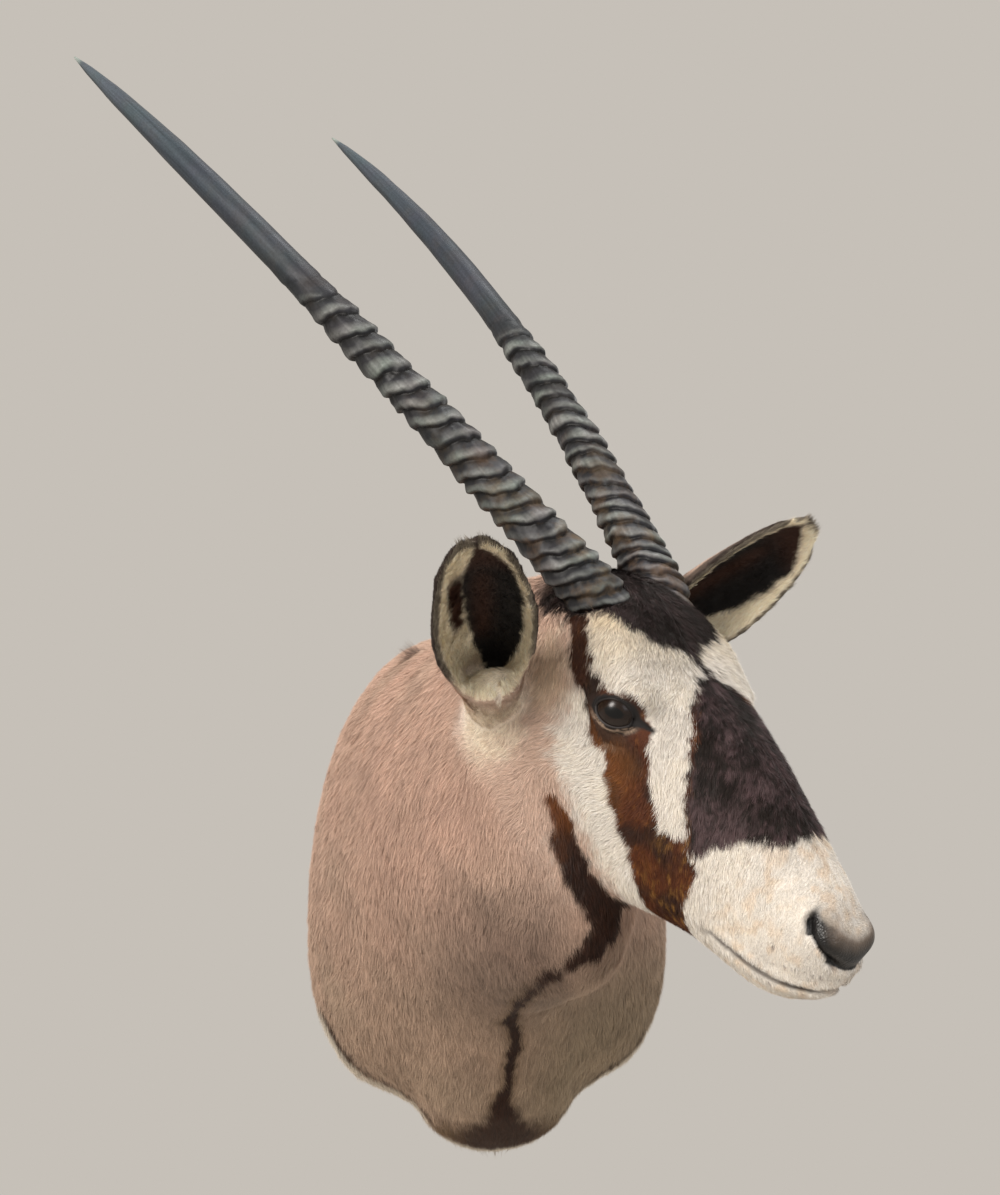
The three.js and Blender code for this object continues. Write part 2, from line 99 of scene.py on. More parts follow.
# %% Soft lamps
def soft_lamp(name, place, size, watts, colour="ffffff"):
    bpy.ops.object.light_add(type="AREA", location=place)
    lamp = bpy.context.object
    lamp.name = name
    lamp.rotation_euler = (CAMERA_TARGET - Vector(place)).to_track_quat("-Z", "Y").to_euler()
    lamp.data.shape = "DISK"
    lamp.data.size = size
    lamp.data.energy = watts
    lamp.data.color = linear(colour)
    print("lamp:", name, watts, "W")


soft_lamp("key", (-1.8, -2.3, 1.5), 1.3, 92, "fff9f3")
soft_lamp("fill", (1.6, -2.4, 0.9), 1.6, 14, "f2f5ff")
soft_lamp("top", (0.5, -0.3, 2.6), 1.2, 26)
soft_lamp("rim", (1.8, 1.6, 1.2), 1.4, 12)

# %% Floor
FLOOR_LEVEL = -0.92
FLOOR_RADIUS = 1.0
bpy.ops.object.select_all(action="DESELECT")
bpy.ops.mesh.primitive_cylinder_add(
    vertices=96, radius=FLOOR_RADIUS, depth=0.02, location=(0, -0.3, FLOOR_LEVEL))
floor = bpy.context.object
floor.name = "floor"
print("floor at", FLOOR_LEVEL)

# %% [markdown]
# ## Small helpers
# Most shapes here start as a primitive whose points are then moved by a formula, as a sculptor
# moves clay: the formula is the animal's form. These helpers read and write an object's points as
# one array, and add shader nodes.


# %% Points, nodes and pieces
def only(thing):
    """Makes one object the selected, active one."""
    bpy.ops.object.select_all(action="DESELECT")
    thing.select_set(True)
    bpy.context.view_layer.objects.active = thing


def points_of(thing):
    flat = np.empty(len(thing.data.vertices) * 3)
    thing.data.vertices.foreach_get("co", flat)
    return flat.reshape(-1, 3)


def set_points(thing, points):
    thing.data.vertices.foreach_set("co", np.ascontiguousarray(points, dtype=np.float32).ravel())
    thing.data.update()


def normals_of(thing):
    flat = np.empty(len(thing.data.vertices) * 3, dtype=np.float32)
    thing.data.vertex_normals.foreach_get("vector", flat)
    return flat.reshape(-1, 3).astype(float)


def set_values(thing, name, values):
    """Stores one number for each point, for the shader to read."""
    thing.data.attributes.new(name, "FLOAT", "POINT").data.foreach_set(
        "value", np.ascontiguousarray(values, dtype=np.float32))


def set_colours(thing, name, colours):
    """Stores one linear colour for each point, for the shader to read."""
    four = np.concatenate([colours, np.ones((len(colours), 1))], axis=1)
    thing.data.attributes.new(name, "FLOAT_COLOR", "POINT").data.foreach_set(
        "color", np.ascontiguousarray(four, dtype=np.float32).ravel())


def clean_net(thing, merge=0.0, turn_out=True):
    """Merges points that lie together, and turns every face outwards."""
    only(thing)
    bpy.ops.object.mode_set(mode="EDIT")
    bpy.ops.mesh.select_all(action="SELECT")
    if merge:
        bpy.ops.mesh.remove_doubles(threshold=merge)
    if turn_out:
        bpy.ops.mesh.normals_make_consistent(inside=False)
    bpy.ops.object.mode_set(mode="OBJECT")


def finish_of(name):
    """A new material with its node tree and its Principled shader."""
    material = bpy.data.materials.new(name)
    material.use_nodes = True
    return material, material.node_tree.nodes["Principled BSDF"]


def add_node(material, kind, settings=None, links=None):
    """Adds a shader node. Settings name its properties or sockets, and links feed its sockets.
    The setting "stops" gives a colour ramp's places and sRGB colours."""
    node = material.node_tree.nodes.new(kind)
    for key, value in (settings or {}).items():
        if key == "stops":
            elements = node.color_ramp.elements
            for element, (place, code) in zip((elements[0], elements[1]), (value[0], value[-1])):
                element.position, element.color = place, rgba(code)
            for place, code in value[1:-1]:
                elements.new(place).color = rgba(code)
        elif isinstance(key, int) or key in node.inputs:
            node.inputs[key].default_value = value
        else:
            setattr(node, key, value)
    for key, socket in (links or {}).items():
        material.node_tree.links.new(socket, node.inputs[key])
    return node


def feed(material, socket, target):
    material.node_tree.links.new(socket, target)


def dress(thing, material):
    """Gives a finished piece its material and its body."""
    thing.data.materials.clear()
    thing.data.materials.append(material)
    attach(thing, "root")


def unit(vectors):
    vectors = np.asarray(vectors, dtype=float)
    return vectors / np.maximum(np.linalg.norm(vectors, axis=-1, keepdims=True), 1e-12)


def ramp(values, low, high):
    """0 up to low and 1 from high on, with a smooth step between them."""
    share = np.clip((values - low) / (high - low), 0, 1)
    return share * share * (3 - 2 * share)


def mix(first, second, share):
    """Mixes numbers, colours, or arrays of either, by one share or a share for each."""
    first, second, share = np.asarray(first), np.asarray(second), np.asarray(share)
    threes = (3,) in (first.shape[-1:], second.shape[-1:])
    if share.ndim == 1 and threes:
        share = share[:, None]
    return first * (1 - share) + second * share


print("helpers ready")


# %% [markdown]
# Nothing that grew is even. `lumps` gives each place in space a smooth random value from 0 to 1,
# with bumps of a chosen size, so that colours, hair and rings can vary without any picture.


# %% Smooth random lumps
LATTICE_STEPS = np.array([[i, j, k] for i in (0, 1) for j in (0, 1) for k in (0, 1)])
HASH_DIRECTION = np.array([127.1, 311.7, 74.7])


def lumps(places, size, seed=0):
    scaled = places / size + seed * 19.19
    cell = np.floor(scaled)
    inside = scaled - cell
    inside = inside * inside * (3 - 2 * inside)
    total = np.zeros(len(places))
    for step in LATTICE_STEPS:
        value = np.sin((cell + step) @ HASH_DIRECTION) * 43758.5453
        weight = np.prod(np.where(step, inside, 1 - inside), axis=1)
        total += (value - np.floor(value)) * weight
    return total


print("lumps:", lumps(np.zeros((1, 3)), 1.0))

# %% [markdown]
# ## The head's own frame
# The head is turned and bowed on the neck, so its points are easier to give in a frame of its own:
# forwards to the nose, left, and out of the forehead, in millimetres, from the skin between the
# horns. The neck's points stay in the wall's frame.

# %% Into and out of the head's frame
HEAD_ORIGIN = np.array([98, -499, 255])
HEAD_YAW, HEAD_PITCH, HEAD_ROLL = np.radians([45.5, 40.1, -3])


def head_axes():
    forwards = np.array([
        math.sin(HEAD_YAW) * math.cos(HEAD_PITCH), -math.cos(HEAD_YAW) * math.cos(HEAD_PITCH),
        -math.sin(HEAD_PITCH)])
    level_up = np.array([
        math.sin(HEAD_YAW) * math.sin(HEAD_PITCH), -math.cos(HEAD_YAW) * math.sin(HEAD_PITCH),
        math.cos(HEAD_PITCH)])
    level_left = np.cross(level_up, forwards)
    up = level_up * math.cos(HEAD_ROLL) + level_left * math.sin(HEAD_ROLL)
    return np.array([forwards, np.cross(up, forwards), up])


HEAD_AXES = head_axes()


def to_head(points):
    """Metres in the wall's frame to millimetres in the head's frame."""
    return (points / MM - HEAD_ORIGIN) @ HEAD_AXES.T


def from_head(points):
    return (np.asarray(points, dtype=float) @ HEAD_AXES + HEAD_ORIGIN) * MM


FACE_AXIS_Z = -88
DEGREE = 1.25                             # a degree round the face is about this many millimetres


def face_chart(head_points):
    """How far forwards a point of the face is, and its angle round the face in degrees, from 0 at
    the forehead's middle to 180 under the jaw, alike on both sides."""
    x, y, z = head_points.T
    return x, np.degrees(np.arctan2(np.abs(y), z - FACE_AXIS_Z))


print("the nose points along", HEAD_AXES[0].round(3))

# %% [markdown]
# ## The horns
# A gemsbok's horn is a sheath of keratin on a bony core. It grows from the base, and each season
# leaves a ring. The rings stand close together at the base, lean a little, and have a rounded upper
# side over a sharp undercut. The outer half is smooth and tapers to a point. The horn starts as a
# plain cylinder, which is cut into fine bands and then shaped along the horn's centre line.

# %% The horn's centre line and taper
HORN_SPACING = 84
HORN_LENGTH = 787
HORN_RISE, HORN_SPREAD = np.radians([6.2, 9])
HORN_BOW_BACK = 21
HORN_BOW_OUT = 26
HORN_RADIUS = 22
HORN_RINGED_LENGTH = 458
HORN_ROOT = 34
HORN_TAPER = np.array([
    [-0.05, 0.5], [-0.02, 0.86], [0, 1], [0.1, 0.87], [0.3, 0.73], [0.5, 0.645], [0.7, 0.555],
    [0.8, 0.475], [0.9, 0.335], [0.96, 0.19], [1, 0.04]])


def horn_centre(side, t):
    bow = 4 * t * (1 - t)
    reach = HORN_LENGTH * t
    return np.stack([
        -math.cos(HORN_RISE) * math.cos(HORN_SPREAD) * reach,
        side * (HORN_SPACING / 2 + math.sin(HORN_SPREAD) * reach + bow * HORN_BOW_OUT),
        math.sin(HORN_RISE) * math.cos(HORN_SPREAD) * reach + bow * HORN_BOW_BACK], axis=-1)


print("horn tip, left:", horn_centre(1, np.array(1.0)).round(1))

# %% The rings
RING_PITCH_BASE = 12.5
RING_PITCH_GROWTH = 17
RING_HEIGHT = 4.0
RING_SLANT = np.array([2, 15])            # how much nearer the base, outwards and to the front
RING_CREST = 0.22                         # where in its pitch, from the base, a ring is highest
RING_ROUNDNESS = 1.35                     # above 1, the crests are rounder
RING_START = 20                           # how far under the skin the first ring is
RING_WAVES = ((9.0, 22), (4.0, 7))        # height and size of the waves in a ring
RING_FADE = 0.26                          # share of the ringed length over which the rings fade out


def ring_number(share):
    """How many rings there are up to a share of the ringed length: they grow wider apart."""
    growth = RING_PITCH_GROWTH / RING_PITCH_BASE
    return HORN_RINGED_LENGTH / RING_PITCH_GROWTH * np.log1p(share * growth)


def ring_relief(distance, outward, front, wobble_seed):
    """How high a ring stands, 0 to 1, and how strong the rings are there. Outward and front are the
    sine and cosine of the angle round the horn."""
    where = np.stack([outward * 20, front * 20, distance], axis=-1)
    slant = RING_SLANT[0] * outward + RING_SLANT[1] * front
    slant = slant * (1 - 0.35 * distance / HORN_RINGED_LENGTH)
    wobble = sum(height * (lumps(where, size, wobble_seed + k) - 0.5)
                 for k, (height, size) in enumerate(RING_WAVES))
    share = np.clip((distance + slant + wobble + RING_START) / HORN_RINGED_LENGTH, 0, 1)
    count = ring_number(share)
    phase = count - np.floor(count)
    undercut = np.clip(phase / RING_CREST, 0, 1) ** 0.7
    slope = np.clip((1 - phase) / (1 - RING_CREST), 0, 1)
    profile = 1 - (1 - np.minimum(undercut, slope)) ** RING_ROUNDNESS
    number = np.stack([np.floor(count) * 3.7, outward * 1.1, front * 1.1], axis=-1)
    strength = 0.55 + 0.6 * lumps(number, 1.0, wobble_seed + 2)
    fade = ramp(share, 0.0, 0.02) * ramp(1 - share, 0.0, RING_FADE)
    return profile * fade * strength, fade


print("rings on each horn:", round(float(ring_number(1.0)), 1))

# %% Shape one horn
HORN_SIDES = 90
HORN_BANDS = 930
HORN_SEED = {1: 40, -1: 60}
GROOVE_DEPTH = 0.28                       # the fine lengthwise grooves of keratin
GNARL_HEIGHT = 1.6                        # small knots between the rings
SWELL_HEIGHT = 0.8                        # slow waves on the smooth part


def horn_piece(side, name):
    bpy.ops.object.select_all(action="DESELECT")
    bpy.ops.mesh.primitive_grid_add(x_subdivisions=HORN_SIDES, y_subdivisions=HORN_BANDS, size=1)
    horn = bpy.context.object
    horn.name = name
    points = points_of(horn)
    seed = HORN_SEED[side]
    along = points[:, 1] + 0.5
    cosine, sine = (turn(2 * np.pi * points[:, 0]) for turn in (np.cos, np.sin))
    t = -HORN_ROOT / HORN_LENGTH + along * (1 + HORN_ROOT / HORN_LENGTH)
    distance = t * HORN_LENGTH

    def bumps(radius, length, size, number):
        """Lumps that join up round the horn, stretched along it as the radius and length say."""
        places = np.stack([cosine * radius, sine * radius, length], axis=-1)
        return lumps(places, size, seed + number)

    tangent = unit(horn_centre(side, t + 1e-3) - horn_centre(side, t - 1e-3))
    outwards = unit(np.array([0, side, 0]) - side * tangent[:, 1:2] * tangent)
    upwards = np.cross(tangent, outwards)
    ring, ringed = ring_relief(distance, cosine, -side * sine, seed)
    groove = bumps(9, distance / 60, 0.8, 5) * 0.6 + bumps(9, distance / 60, 0.45, 6) * 0.4 - 0.5
    gnarls = bumps(20, distance, 6, 8) - 0.5
    swell = bumps(8, distance, 34, 7) - 0.5
    radius = np.interp(t, *HORN_TAPER.T) * HORN_RADIUS + (ring * RING_HEIGHT - 1) * ringed
    grooved = groove * GROOVE_DEPTH * (0.8 + 1.2 * ringed)
    radius += grooved * ramp(t, -0.01, 0.02) * ramp(1 - t, 0, 0.1)
    radius += gnarls * GNARL_HEIGHT * ringed * (1 - 0.5 * t)
    radius += swell * SWELL_HEIGHT * (1 - 0.6 * ringed) * ramp(1 - t, 0, 0.15)
    radius = np.where((along < 1e-6) | (along > 1 - 1e-6), 0, radius)
    away = outwards * cosine[:, None] + upwards * sine[:, None]
    set_points(horn, from_head(horn_centre(side, t) + away * radius[:, None]))
    set_values(horn, "ring_height", ring)
    set_values(horn, "ringed", ringed)
    set_values(horn, "share_of_length", np.clip(t, 0, 1))
    set_values(horn, "groove", groove)
    # how far the horn faces down, which its finish turns into painted shade
    set_values(horn, "underside", (-away @ HEAD_AXES)[:, 2])
    clean_net(horn, merge=1e-6)
    bpy.ops.object.shade_smooth()
    print(name, len(horn.data.polygons), "faces")
    return horn


# %% [markdown]
# Keratin is a hard, slightly translucent protein, like a fingernail. Old horn is dry and satin,
# dark slate where it is smooth, and grey with brown stains where dirt stays between the rings. The
# crests are pale, partly rubbed and partly painted highlight, the undercuts are nearly black as
# painted shade, and the underside is painted darker as painted shade.


# %% Horn finish
# The ring colours paint shade and light: near black in the undercuts as painted shade, pale on the
# crests partly as painted highlight and partly as rubbed wear.
RING_COLOURS = ((0.12, "0c0b0c"), (0.5, "2a2a2d"), (0.98, "7f807b"))     # undercut, side, crest
SMOOTH_COLOURS = ((0.45, "3a3e43"), (0.7, "394048"), (1.0, "525c62"))    # towards the tip
STAIN, WORN_TIP = "69543c", "8f9891"
TINTS = ((0.35, "e8e2ea"), (0.65, "dce7e6"))


def horn_finish():
    material, shader = finish_of("dry ringed horn keratin")
    ring, ringed, along, groove, under = (
        add_node(material, "ShaderNodeAttribute", {"attribute_name": name}).outputs["Fac"]
        for name in ("ring_height", "ringed", "share_of_length", "groove", "underside"))
    place = add_node(material, "ShaderNodeTexCoord").outputs["Object"]
    blotch, speck, tints = (
        add_node(material, "ShaderNodeTexNoise",
                 {"Scale": scale, "Detail": detail, "Roughness": rough},
                 {"Vector": place}).outputs["Fac"]
        for scale, detail, rough in ((38, 5, 0.6), (420, 3, 0.5), (24, 2, 0.5)))
    # The horn is darkened where it faces down, as painted shade.
    stained, near_base, painted_underside_shade, tip, streak, grain, rough = (
        add_node(material, "ShaderNodeMapRange",
                 {"From Min": low, "From Max": high, "To Min": first, "To Max": last},
                 {"Value": value}).outputs["Result"]
        for value, low, high, first, last in (
            (blotch, 0.48, 0.66, 0.0, 0.75), (along, 0.03, 0.3, 1.0, 0.12),
            (under, 0.05, 0.75, 1.0, 0.3), (along, 0.975, 0.99, 0.0, 0.8),
            (groove, -0.3, 0.3, 0.72, 1.25), (speck, 0.3, 0.7, 0.82, 1.15),
            (blotch, 0.3, 0.7, 0.42, 0.62)))
    crest, smooth, tint = (
        add_node(material, "ShaderNodeValToRGB", {"stops": stops}, {"Fac": value}).outputs["Color"]
        for stops, value in ((RING_COLOURS, ring), (SMOOTH_COLOURS, along), (TINTS, tints)))
    stain_share = add_node(material, "ShaderNodeMath", {"operation": "MULTIPLY"},
                           {0: stained, 1: near_base}).outputs["Value"]
    colour = add_node(material, "ShaderNodeMix", {"data_type": "RGBA"},
                      {"Factor": ringed, 6: smooth, 7: crest}).outputs[2]
    for settings, links in (
            ({7: rgba(STAIN)}, {"Factor": stain_share}),
            ({"blend_type": "MULTIPLY", "Factor": 1.0}, {7: tint}),
            ({"blend_type": "MULTIPLY", "Factor": 1.0}, {7: painted_underside_shade}),
            ({7: rgba(WORN_TIP)}, {"Factor": tip}),
            ({"blend_type": "MULTIPLY", "Factor": 1.0}, {7: streak}),
            ({"blend_type": "MULTIPLY", "Factor": 1.0}, {7: grain})):
        colour = add_node(material, "ShaderNodeMix", {"data_type": "RGBA", **settings},
                          {6: colour, **links}).outputs[2]
    feed(material, colour, shader.inputs["Base Color"])
    feed(material, rough, shader.inputs["Roughness"])
    shader.inputs["Specular IOR Level"].default_value = 0.25
    bump = add_node(material, "ShaderNodeBump", {"Strength": 0.15, "Distance": 0.0005},
                    {"Height": speck})
    feed(material, bump.outputs["Normal"], shader.inputs["Normal"])
    return material


HORN = horn_finish()
for side, node in ((1, "horn_left"), (-1, "horn_right")):
    horn = horn_piece(side, "ringed_" + node)
    dress(horn, HORN)
    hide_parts(node)

# %% [markdown]
# ## The skin
# The tanner's skin lies close on a carved form, so it is smooth, with soft hollows and a few sharp
# places: the eyelids, the nostrils, the line of the mouth and the rims of the ears. The packed
# solid gives the form. A copy of it is joined to a few plugs that close the eyes and the foot of
# each ear, and is then remeshed into one even net, which can be smoothed and shaped like clay.

# %% The ears' own measure
EAR_LENGTH = 206
EAR_WALL = 6
EAR_ROOT = {1: np.array([-22, 72, -88]), -1: np.array([-8, -80, -112])}
EAR_AXIS = {1: unit([0.18, 0.38, 0.9]), -1: unit([0.05, -0.65, 0.76])}
EAR_OPENING = {1: np.array([0.92, -0.38, 0]), -1: np.array([0.95, -0.2, -0.2])}
EAR_CUP = np.array([                      # share of the length, radius, half angle, set back
    [-0.15, 19, 158, 19], [0, 22, 152, 22], [0.2, 28, 122, 26], [0.36, 37, 98, 25],
    [0.52, 43, 80, 20], [0.68, 45, 64, 13], [0.82, 43, 52, 7], [0.93, 37, 40, 2], [1, 28, 20, 0]])


def ear_frame(side):
    axis = EAR_AXIS[side]
    opening = unit(EAR_OPENING[side] - axis * (EAR_OPENING[side] @ axis))
    return EAR_ROOT[side], axis, opening, np.cross(axis, opening)


def ear_cup(share):
    return [np.interp(share, EAR_CUP[:, 0], EAR_CUP[:, column]) for column in (1, 2, 3)]


def ear_chart(head_points, side):
    """For points near an ear: share of its length, angle round its cup, and depth into its wall."""
    root, axis, opening, across = ear_frame(side)
    away = head_points - root
    share = away @ axis / EAR_LENGTH
    radius, half_angle, back = ear_cup(share)
    forwards = away @ opening - (radius - back)
    sideways = away @ across
    angle = np.degrees(np.arctan2(sideways, -forwards))
    return share, angle, radius - np.hypot(sideways, forwards), half_angle


print("ear cup at its middle:", [round(float(v), 1) for v in ear_cup(0.5)])

# %% Copy the hide and plug the eyes and ears
EYE_RADIUS = 17
EYE_CENTRE = {side: np.array([87, side * 66, -43]) for side in (1, -1)}
EYE_PLUG = 16                             # radius of the ball that closes an eye's socket
EAR_FLOOR_BACK, EAR_FLOOR_FRONT = 0.1, 0.24      # where the cup's floor is, as shares of the ear
EAR_PLUG_START = -0.14
RIGHT_TIP_BREADTH = 0.45                  # how much broader the right ear's tip becomes


def merged_copy(node, name):
    thing = bpy.data.objects.new(name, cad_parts[node].data.copy())
    bpy.context.scene.collection.objects.link(thing)
    clean_net(thing, merge=1e-5, turn_out=False)
    return thing


def ear_plug(side):
    """A slanting plug that closes the lower part of the ear's cup, as the ear's base does."""
    bpy.ops.object.select_all(action="DESELECT")
    bpy.ops.mesh.primitive_cylinder_add(vertices=32, radius=1, depth=1, location=(0, 0, 0.5))
    plug = bpy.context.object
    bpy.ops.object.transform_apply(location=True)
    bpy.ops.object.mode_set(mode="EDIT")
    bpy.ops.mesh.subdivide(number_cuts=3)
    bpy.ops.object.mode_set(mode="OBJECT")
    root, axis, opening, across = ear_frame(side)
    points = points_of(plug)
    angle = np.arctan2(points[:, 1], points[:, 0])
    reach = np.hypot(points[:, 0], points[:, 1])
    front = 0.5 - 0.5 * np.cos(angle) * reach
    top = mix(EAR_FLOOR_BACK, EAR_FLOOR_FRONT, front)
    share = mix(EAR_PLUG_START, top, points[:, 2])
    radius, _, back = ear_cup(share)
    spread = (radius - 1) * reach
    shaped = root + axis * (share * EAR_LENGTH)[:, None]
    shaped = shaped + across * (spread * np.sin(angle))[:, None]
    shaped += opening * (radius - back - spread * np.cos(angle))[:, None]
    set_points(plug, from_head(shaped))
    return plug


def swelling(place, size):
    """A round swelling under the skin, centred and sized in the head's frame."""
    bpy.ops.object.select_all(action="DESELECT")
    bpy.ops.mesh.primitive_ico_sphere_add(subdivisions=4, radius=1, location=(0, 0, 0))
    thing = bpy.context.object
    set_points(thing, from_head(points_of(thing) * size + place))
    return thing


def broaden_tip(thing, side, amount):
    """Makes an ear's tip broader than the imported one."""
    head_points = to_head(points_of(thing))
    root, _, opening, across = ear_frame(side)
    away = head_points - root
    at_tip = ramp(ear_chart(head_points, side)[0], 0.84, 1.0) * (head_points[:, 1] * side > 0)
    at_tip = at_tip * (np.abs(away @ opening) < 60)
    head_points = head_points + across * (away @ across * amount * at_tip)[:, None]
    set_points(thing, from_head(head_points))


skin = merged_copy("hide", "skin")
broaden_tip(skin, -1, RIGHT_TIP_BREADTH)
plugs = [ear_plug(side) for side in (1, -1)]
plugs += [swelling(EYE_CENTRE[side], EYE_PLUG) for side in (1, -1)]
for side in (1, -1):
    plugs.append(swelling((300, side * 19, -78), (20, 16, 17)))      # wing of the nostril
    brow = (30, 16, 13) if side < 0 else (26, 11, 10)
    plugs.append(swelling((82, side * 66, -22), brow))               # bone over the eye
    plugs.append(swelling((20, side * 52, -120), (62, 24, 50)))      # jaw muscle
    plugs.append(swelling(EAR_ROOT[side] + (5, -side * 12, -14), (36, 24, 42)))   # foot of the ear
    root, axis, opening, across = ear_frame(side)
    for up, out, size in ((42, 14, 18), (24, 14, 21), (4, 8, 25), (-18, 0, 29)):  # and its front
        plugs.append(swelling(root + axis * up + opening * out, (size, size, size)))
bpy.ops.object.select_all(action="DESELECT")
for plug in plugs:
    plug.select_set(True)
skin.select_set(True)
bpy.context.view_layer.objects.active = skin
bpy.ops.object.join()
print("skin before remeshing:", len(skin.data.polygons), "faces")

# %% Remesh into one even net and smooth it
NET_SIZE = 0.0036                         # in metres, as the remesher takes it
MUZZLE_REGROWTH = 1.8                     # what smoothing takes off the muzzle, in millimetres
skin.data.remesh_voxel_size = NET_SIZE
skin.data.use_remesh_fix_poles = False
bpy.ops.object.voxel_remesh()


def smooth(thing, weights, steps):
    """Relaxes the net where weights say so."""
    group = thing.vertex_groups.new(name="relax")
    levels = np.round(np.clip(weights, 0, 1) * 10).astype(int)
    for level in range(1, 11):
        group.add(np.flatnonzero(levels == level).tolist(), level / 10, "REPLACE")
    only(thing)
    relax = thing.modifiers.new("relax", "SMOOTH")
    relax.factor = 0.5
    relax.iterations = steps
    relax.vertex_group = "relax"
    bpy.ops.object.modifier_apply(modifier="relax")
    thing.vertex_groups.remove(thing.vertex_groups["relax"])


def on_ear(head_points):
    """1 on an ear's blade and 0 elsewhere, the ear's measures taken from the nearer ear."""
    side = np.where(head_points[:, 1] > 0, 1, -1)
    share, angle, depth, half_angle = (np.where(side > 0, left, right) for left, right in zip(
        ear_chart(head_points, 1), ear_chart(head_points, -1)))
    near = (share > 0.02) & (share < 1.1) & (np.abs(depth - EAR_WALL / 2) < 9)
    near &= np.abs(angle) < half_angle + 60
    return near, share, angle, depth, half_angle


def wall_distance(points):
    return -points[:, 1] / MM


head_net = to_head(points_of(skin))
ear_here = on_ear(head_net)[0]
x, around = face_chart(head_net)
near_wall = wall_distance(points_of(skin)) < 24
even = np.where(ear_here, 0.25, 1.0) * np.where(near_wall, 0.1, 1.0)
smooth(skin, even, 34)
along_muzzle = ramp(x, 120, 170) * (1 - 0.75 * ramp(x, 265, 300))
smooth(skin, along_muzzle, 60)
regrowth = normals_of(skin) * (MUZZLE_REGROWTH * along_muzzle * MM)[:, None]
set_points(skin, points_of(skin) + regrowth)
for side in (1, -1):
    foot = EAR_ROOT[side] - 12 * EAR_AXIS[side]
    near_foot = 1 - ramp(np.linalg.norm(head_net - foot, axis=1), 42, 66)
    share, angle = ear_chart(head_net, side)[:2]
    cup_floor = ramp(np.abs(angle), 50, 95) * (1 - ramp(share, 0.3, 0.42))
    smooth(skin, near_foot * np.maximum(1 - ramp(share, 0.02, 0.12), cup_floor), 150)
behind_jaw = ramp(x, -90, -60) * ramp(-x, -95, -45) * ramp(around, 30, 60) * ~ear_here * ~near_wall
smooth(skin, behind_jaw, 50)
print("skin net:", len(skin.data.polygons), "faces")

# %% [markdown]
# ### Eyelids, nostrils and mouth
# These need a finer net than the neck does, so the faces there are subdivided first. Then each
# point is moved by a simple rule: lids are a shell just over the eyeball with an almond opening,
# and nostrils and mouth are grooves along a line of a few points.


# %% Finer net at the eyes and the nose
def finer(thing, chosen, cuts):
    """Subdivides the faces whose points are all chosen."""
    only(thing)
    bpy.ops.object.mode_set(mode="EDIT")
    bpy.ops.mesh.select_mode(type="VERT")
    bpy.ops.mesh.select_all(action="DESELECT")
    bpy.ops.object.mode_set(mode="OBJECT")
    thing.data.vertices.foreach_set("select", chosen)
    bpy.ops.object.mode_set(mode="EDIT")
    bpy.ops.mesh.select_mode(type="FACE")
    bpy.ops.mesh.subdivide(number_cuts=cuts, smoothness=1.0)
    bpy.ops.object.mode_set(mode="OBJECT")


NOSE_START = 262
head_net = to_head(points_of(skin))
at_eyes = [np.linalg.norm(head_net - EYE_CENTRE[side], axis=1) < 34 for side in (1, -1)]
at_nose = head_net[:, 0] > NOSE_START
finer(skin, at_eyes[0] | at_eyes[1] | at_nose, 2)
print("skin net, finer:", len(skin.data.polygons), "faces")

# %% Eyelids
LID_AXIS = (0.4, 0.88, 0.22)              # the way the eye looks, for the left eye
LID_LENGTHWISE = (0.853, -0.458, 0.252)   # from the back corner to the tear corner
LID_HALF_LENGTH = 15                      # the opening between the lids
LID_HALF_HEIGHT = 9.8
LID_DROP = 1.4
LID_THICKNESS = 1.7
LID_FOLDS = ((1.26, 0.8), (1.5, 1.0), (2.55, 1.0))     # where and how deep, under the eye
TEAR_START, TEAR_END = (100, 56), (118.5, 50.3)   # a dark crease, in the face's chart


def eye_frame(side):
    looking = unit(np.array(LID_AXIS) * (1, side, 1))
    lengthwise = np.array(LID_LENGTHWISE) * (1, side, 1)
    lengthwise = unit(lengthwise - looking * (lengthwise @ looking))
    return looking, lengthwise, -side * np.cross(looking, lengthwise)


def lid_measure(away, side):
    """1 on the edge of the lids' opening, less inside it and more outside, for places given from
    the eye's centre in millimetres; and how far below the opening's middle they are, -1 to 1."""
    _, lengthwise, upwards = eye_frame(side)
    across, above = away @ lengthwise, away @ upwards + LID_DROP
    below = -above / np.maximum(np.hypot(across, above), 1e-6)
    return np.hypot(across / LID_HALF_LENGTH, above / LID_HALF_HEIGHT), below


def tear_distance(x, around):
    """Distance to the crease that runs forwards from the eye, and how far along it."""
    start, end = (np.array(point) * (1, DEGREE) for point in (TEAR_START, TEAR_END))
    step = end - start
    forwards, down = x - start[0], around * DEGREE - start[1]
    share = np.clip((forwards * step[0] + down * step[1]) / (step @ step), 0, 1)
    return np.hypot(forwards - share * step[0], down - share * step[1]), share


def shape_eyelids(head_points, side):
    away = head_points - EYE_CENTRE[side]
    distance = np.linalg.norm(away, axis=1)
    directions = away / distance[:, None]
    edge, below = lid_measure(away, side)
    here = (distance < 42) & (directions @ eye_frame(side)[0] > 0.02)
    lid = EYE_RADIUS + LID_THICKNESS * ramp(edge, 0.97, 1.1)
    outer = np.maximum(distance, EYE_RADIUS + LID_THICKNESS)
    reach = mix(lid, outer, ramp(edge, 1.15, 1.7))
    reach = mix(reach, distance, ramp(edge, 1.8, 2.4))
    reach = np.where(edge < 1.02, mix(EYE_RADIUS - 1.4, reach, ramp(edge, 0.95, 1.02)), reach)
    lower = ramp(below, 0.1, 0.5)
    for place, depth in LID_FOLDS:
        reach = reach - lower * depth * np.exp(-((edge - place) / 0.06) ** 2)
    gap, share = tear_distance(*face_chart(head_points))
    reach = reach - 2.2 * np.exp(-(gap / mix(2.6, 1.2, share)) ** 2) * ramp(edge, 1.0, 1.15)
    return np.where(here[:, None], EYE_CENTRE[side] + directions * reach[:, None], head_points)


head_net = to_head(points_of(skin))
for side in (1, -1):
    head_net = shape_eyelids(head_net, side)
set_points(skin, from_head(head_net))
print("eyelids shaped")


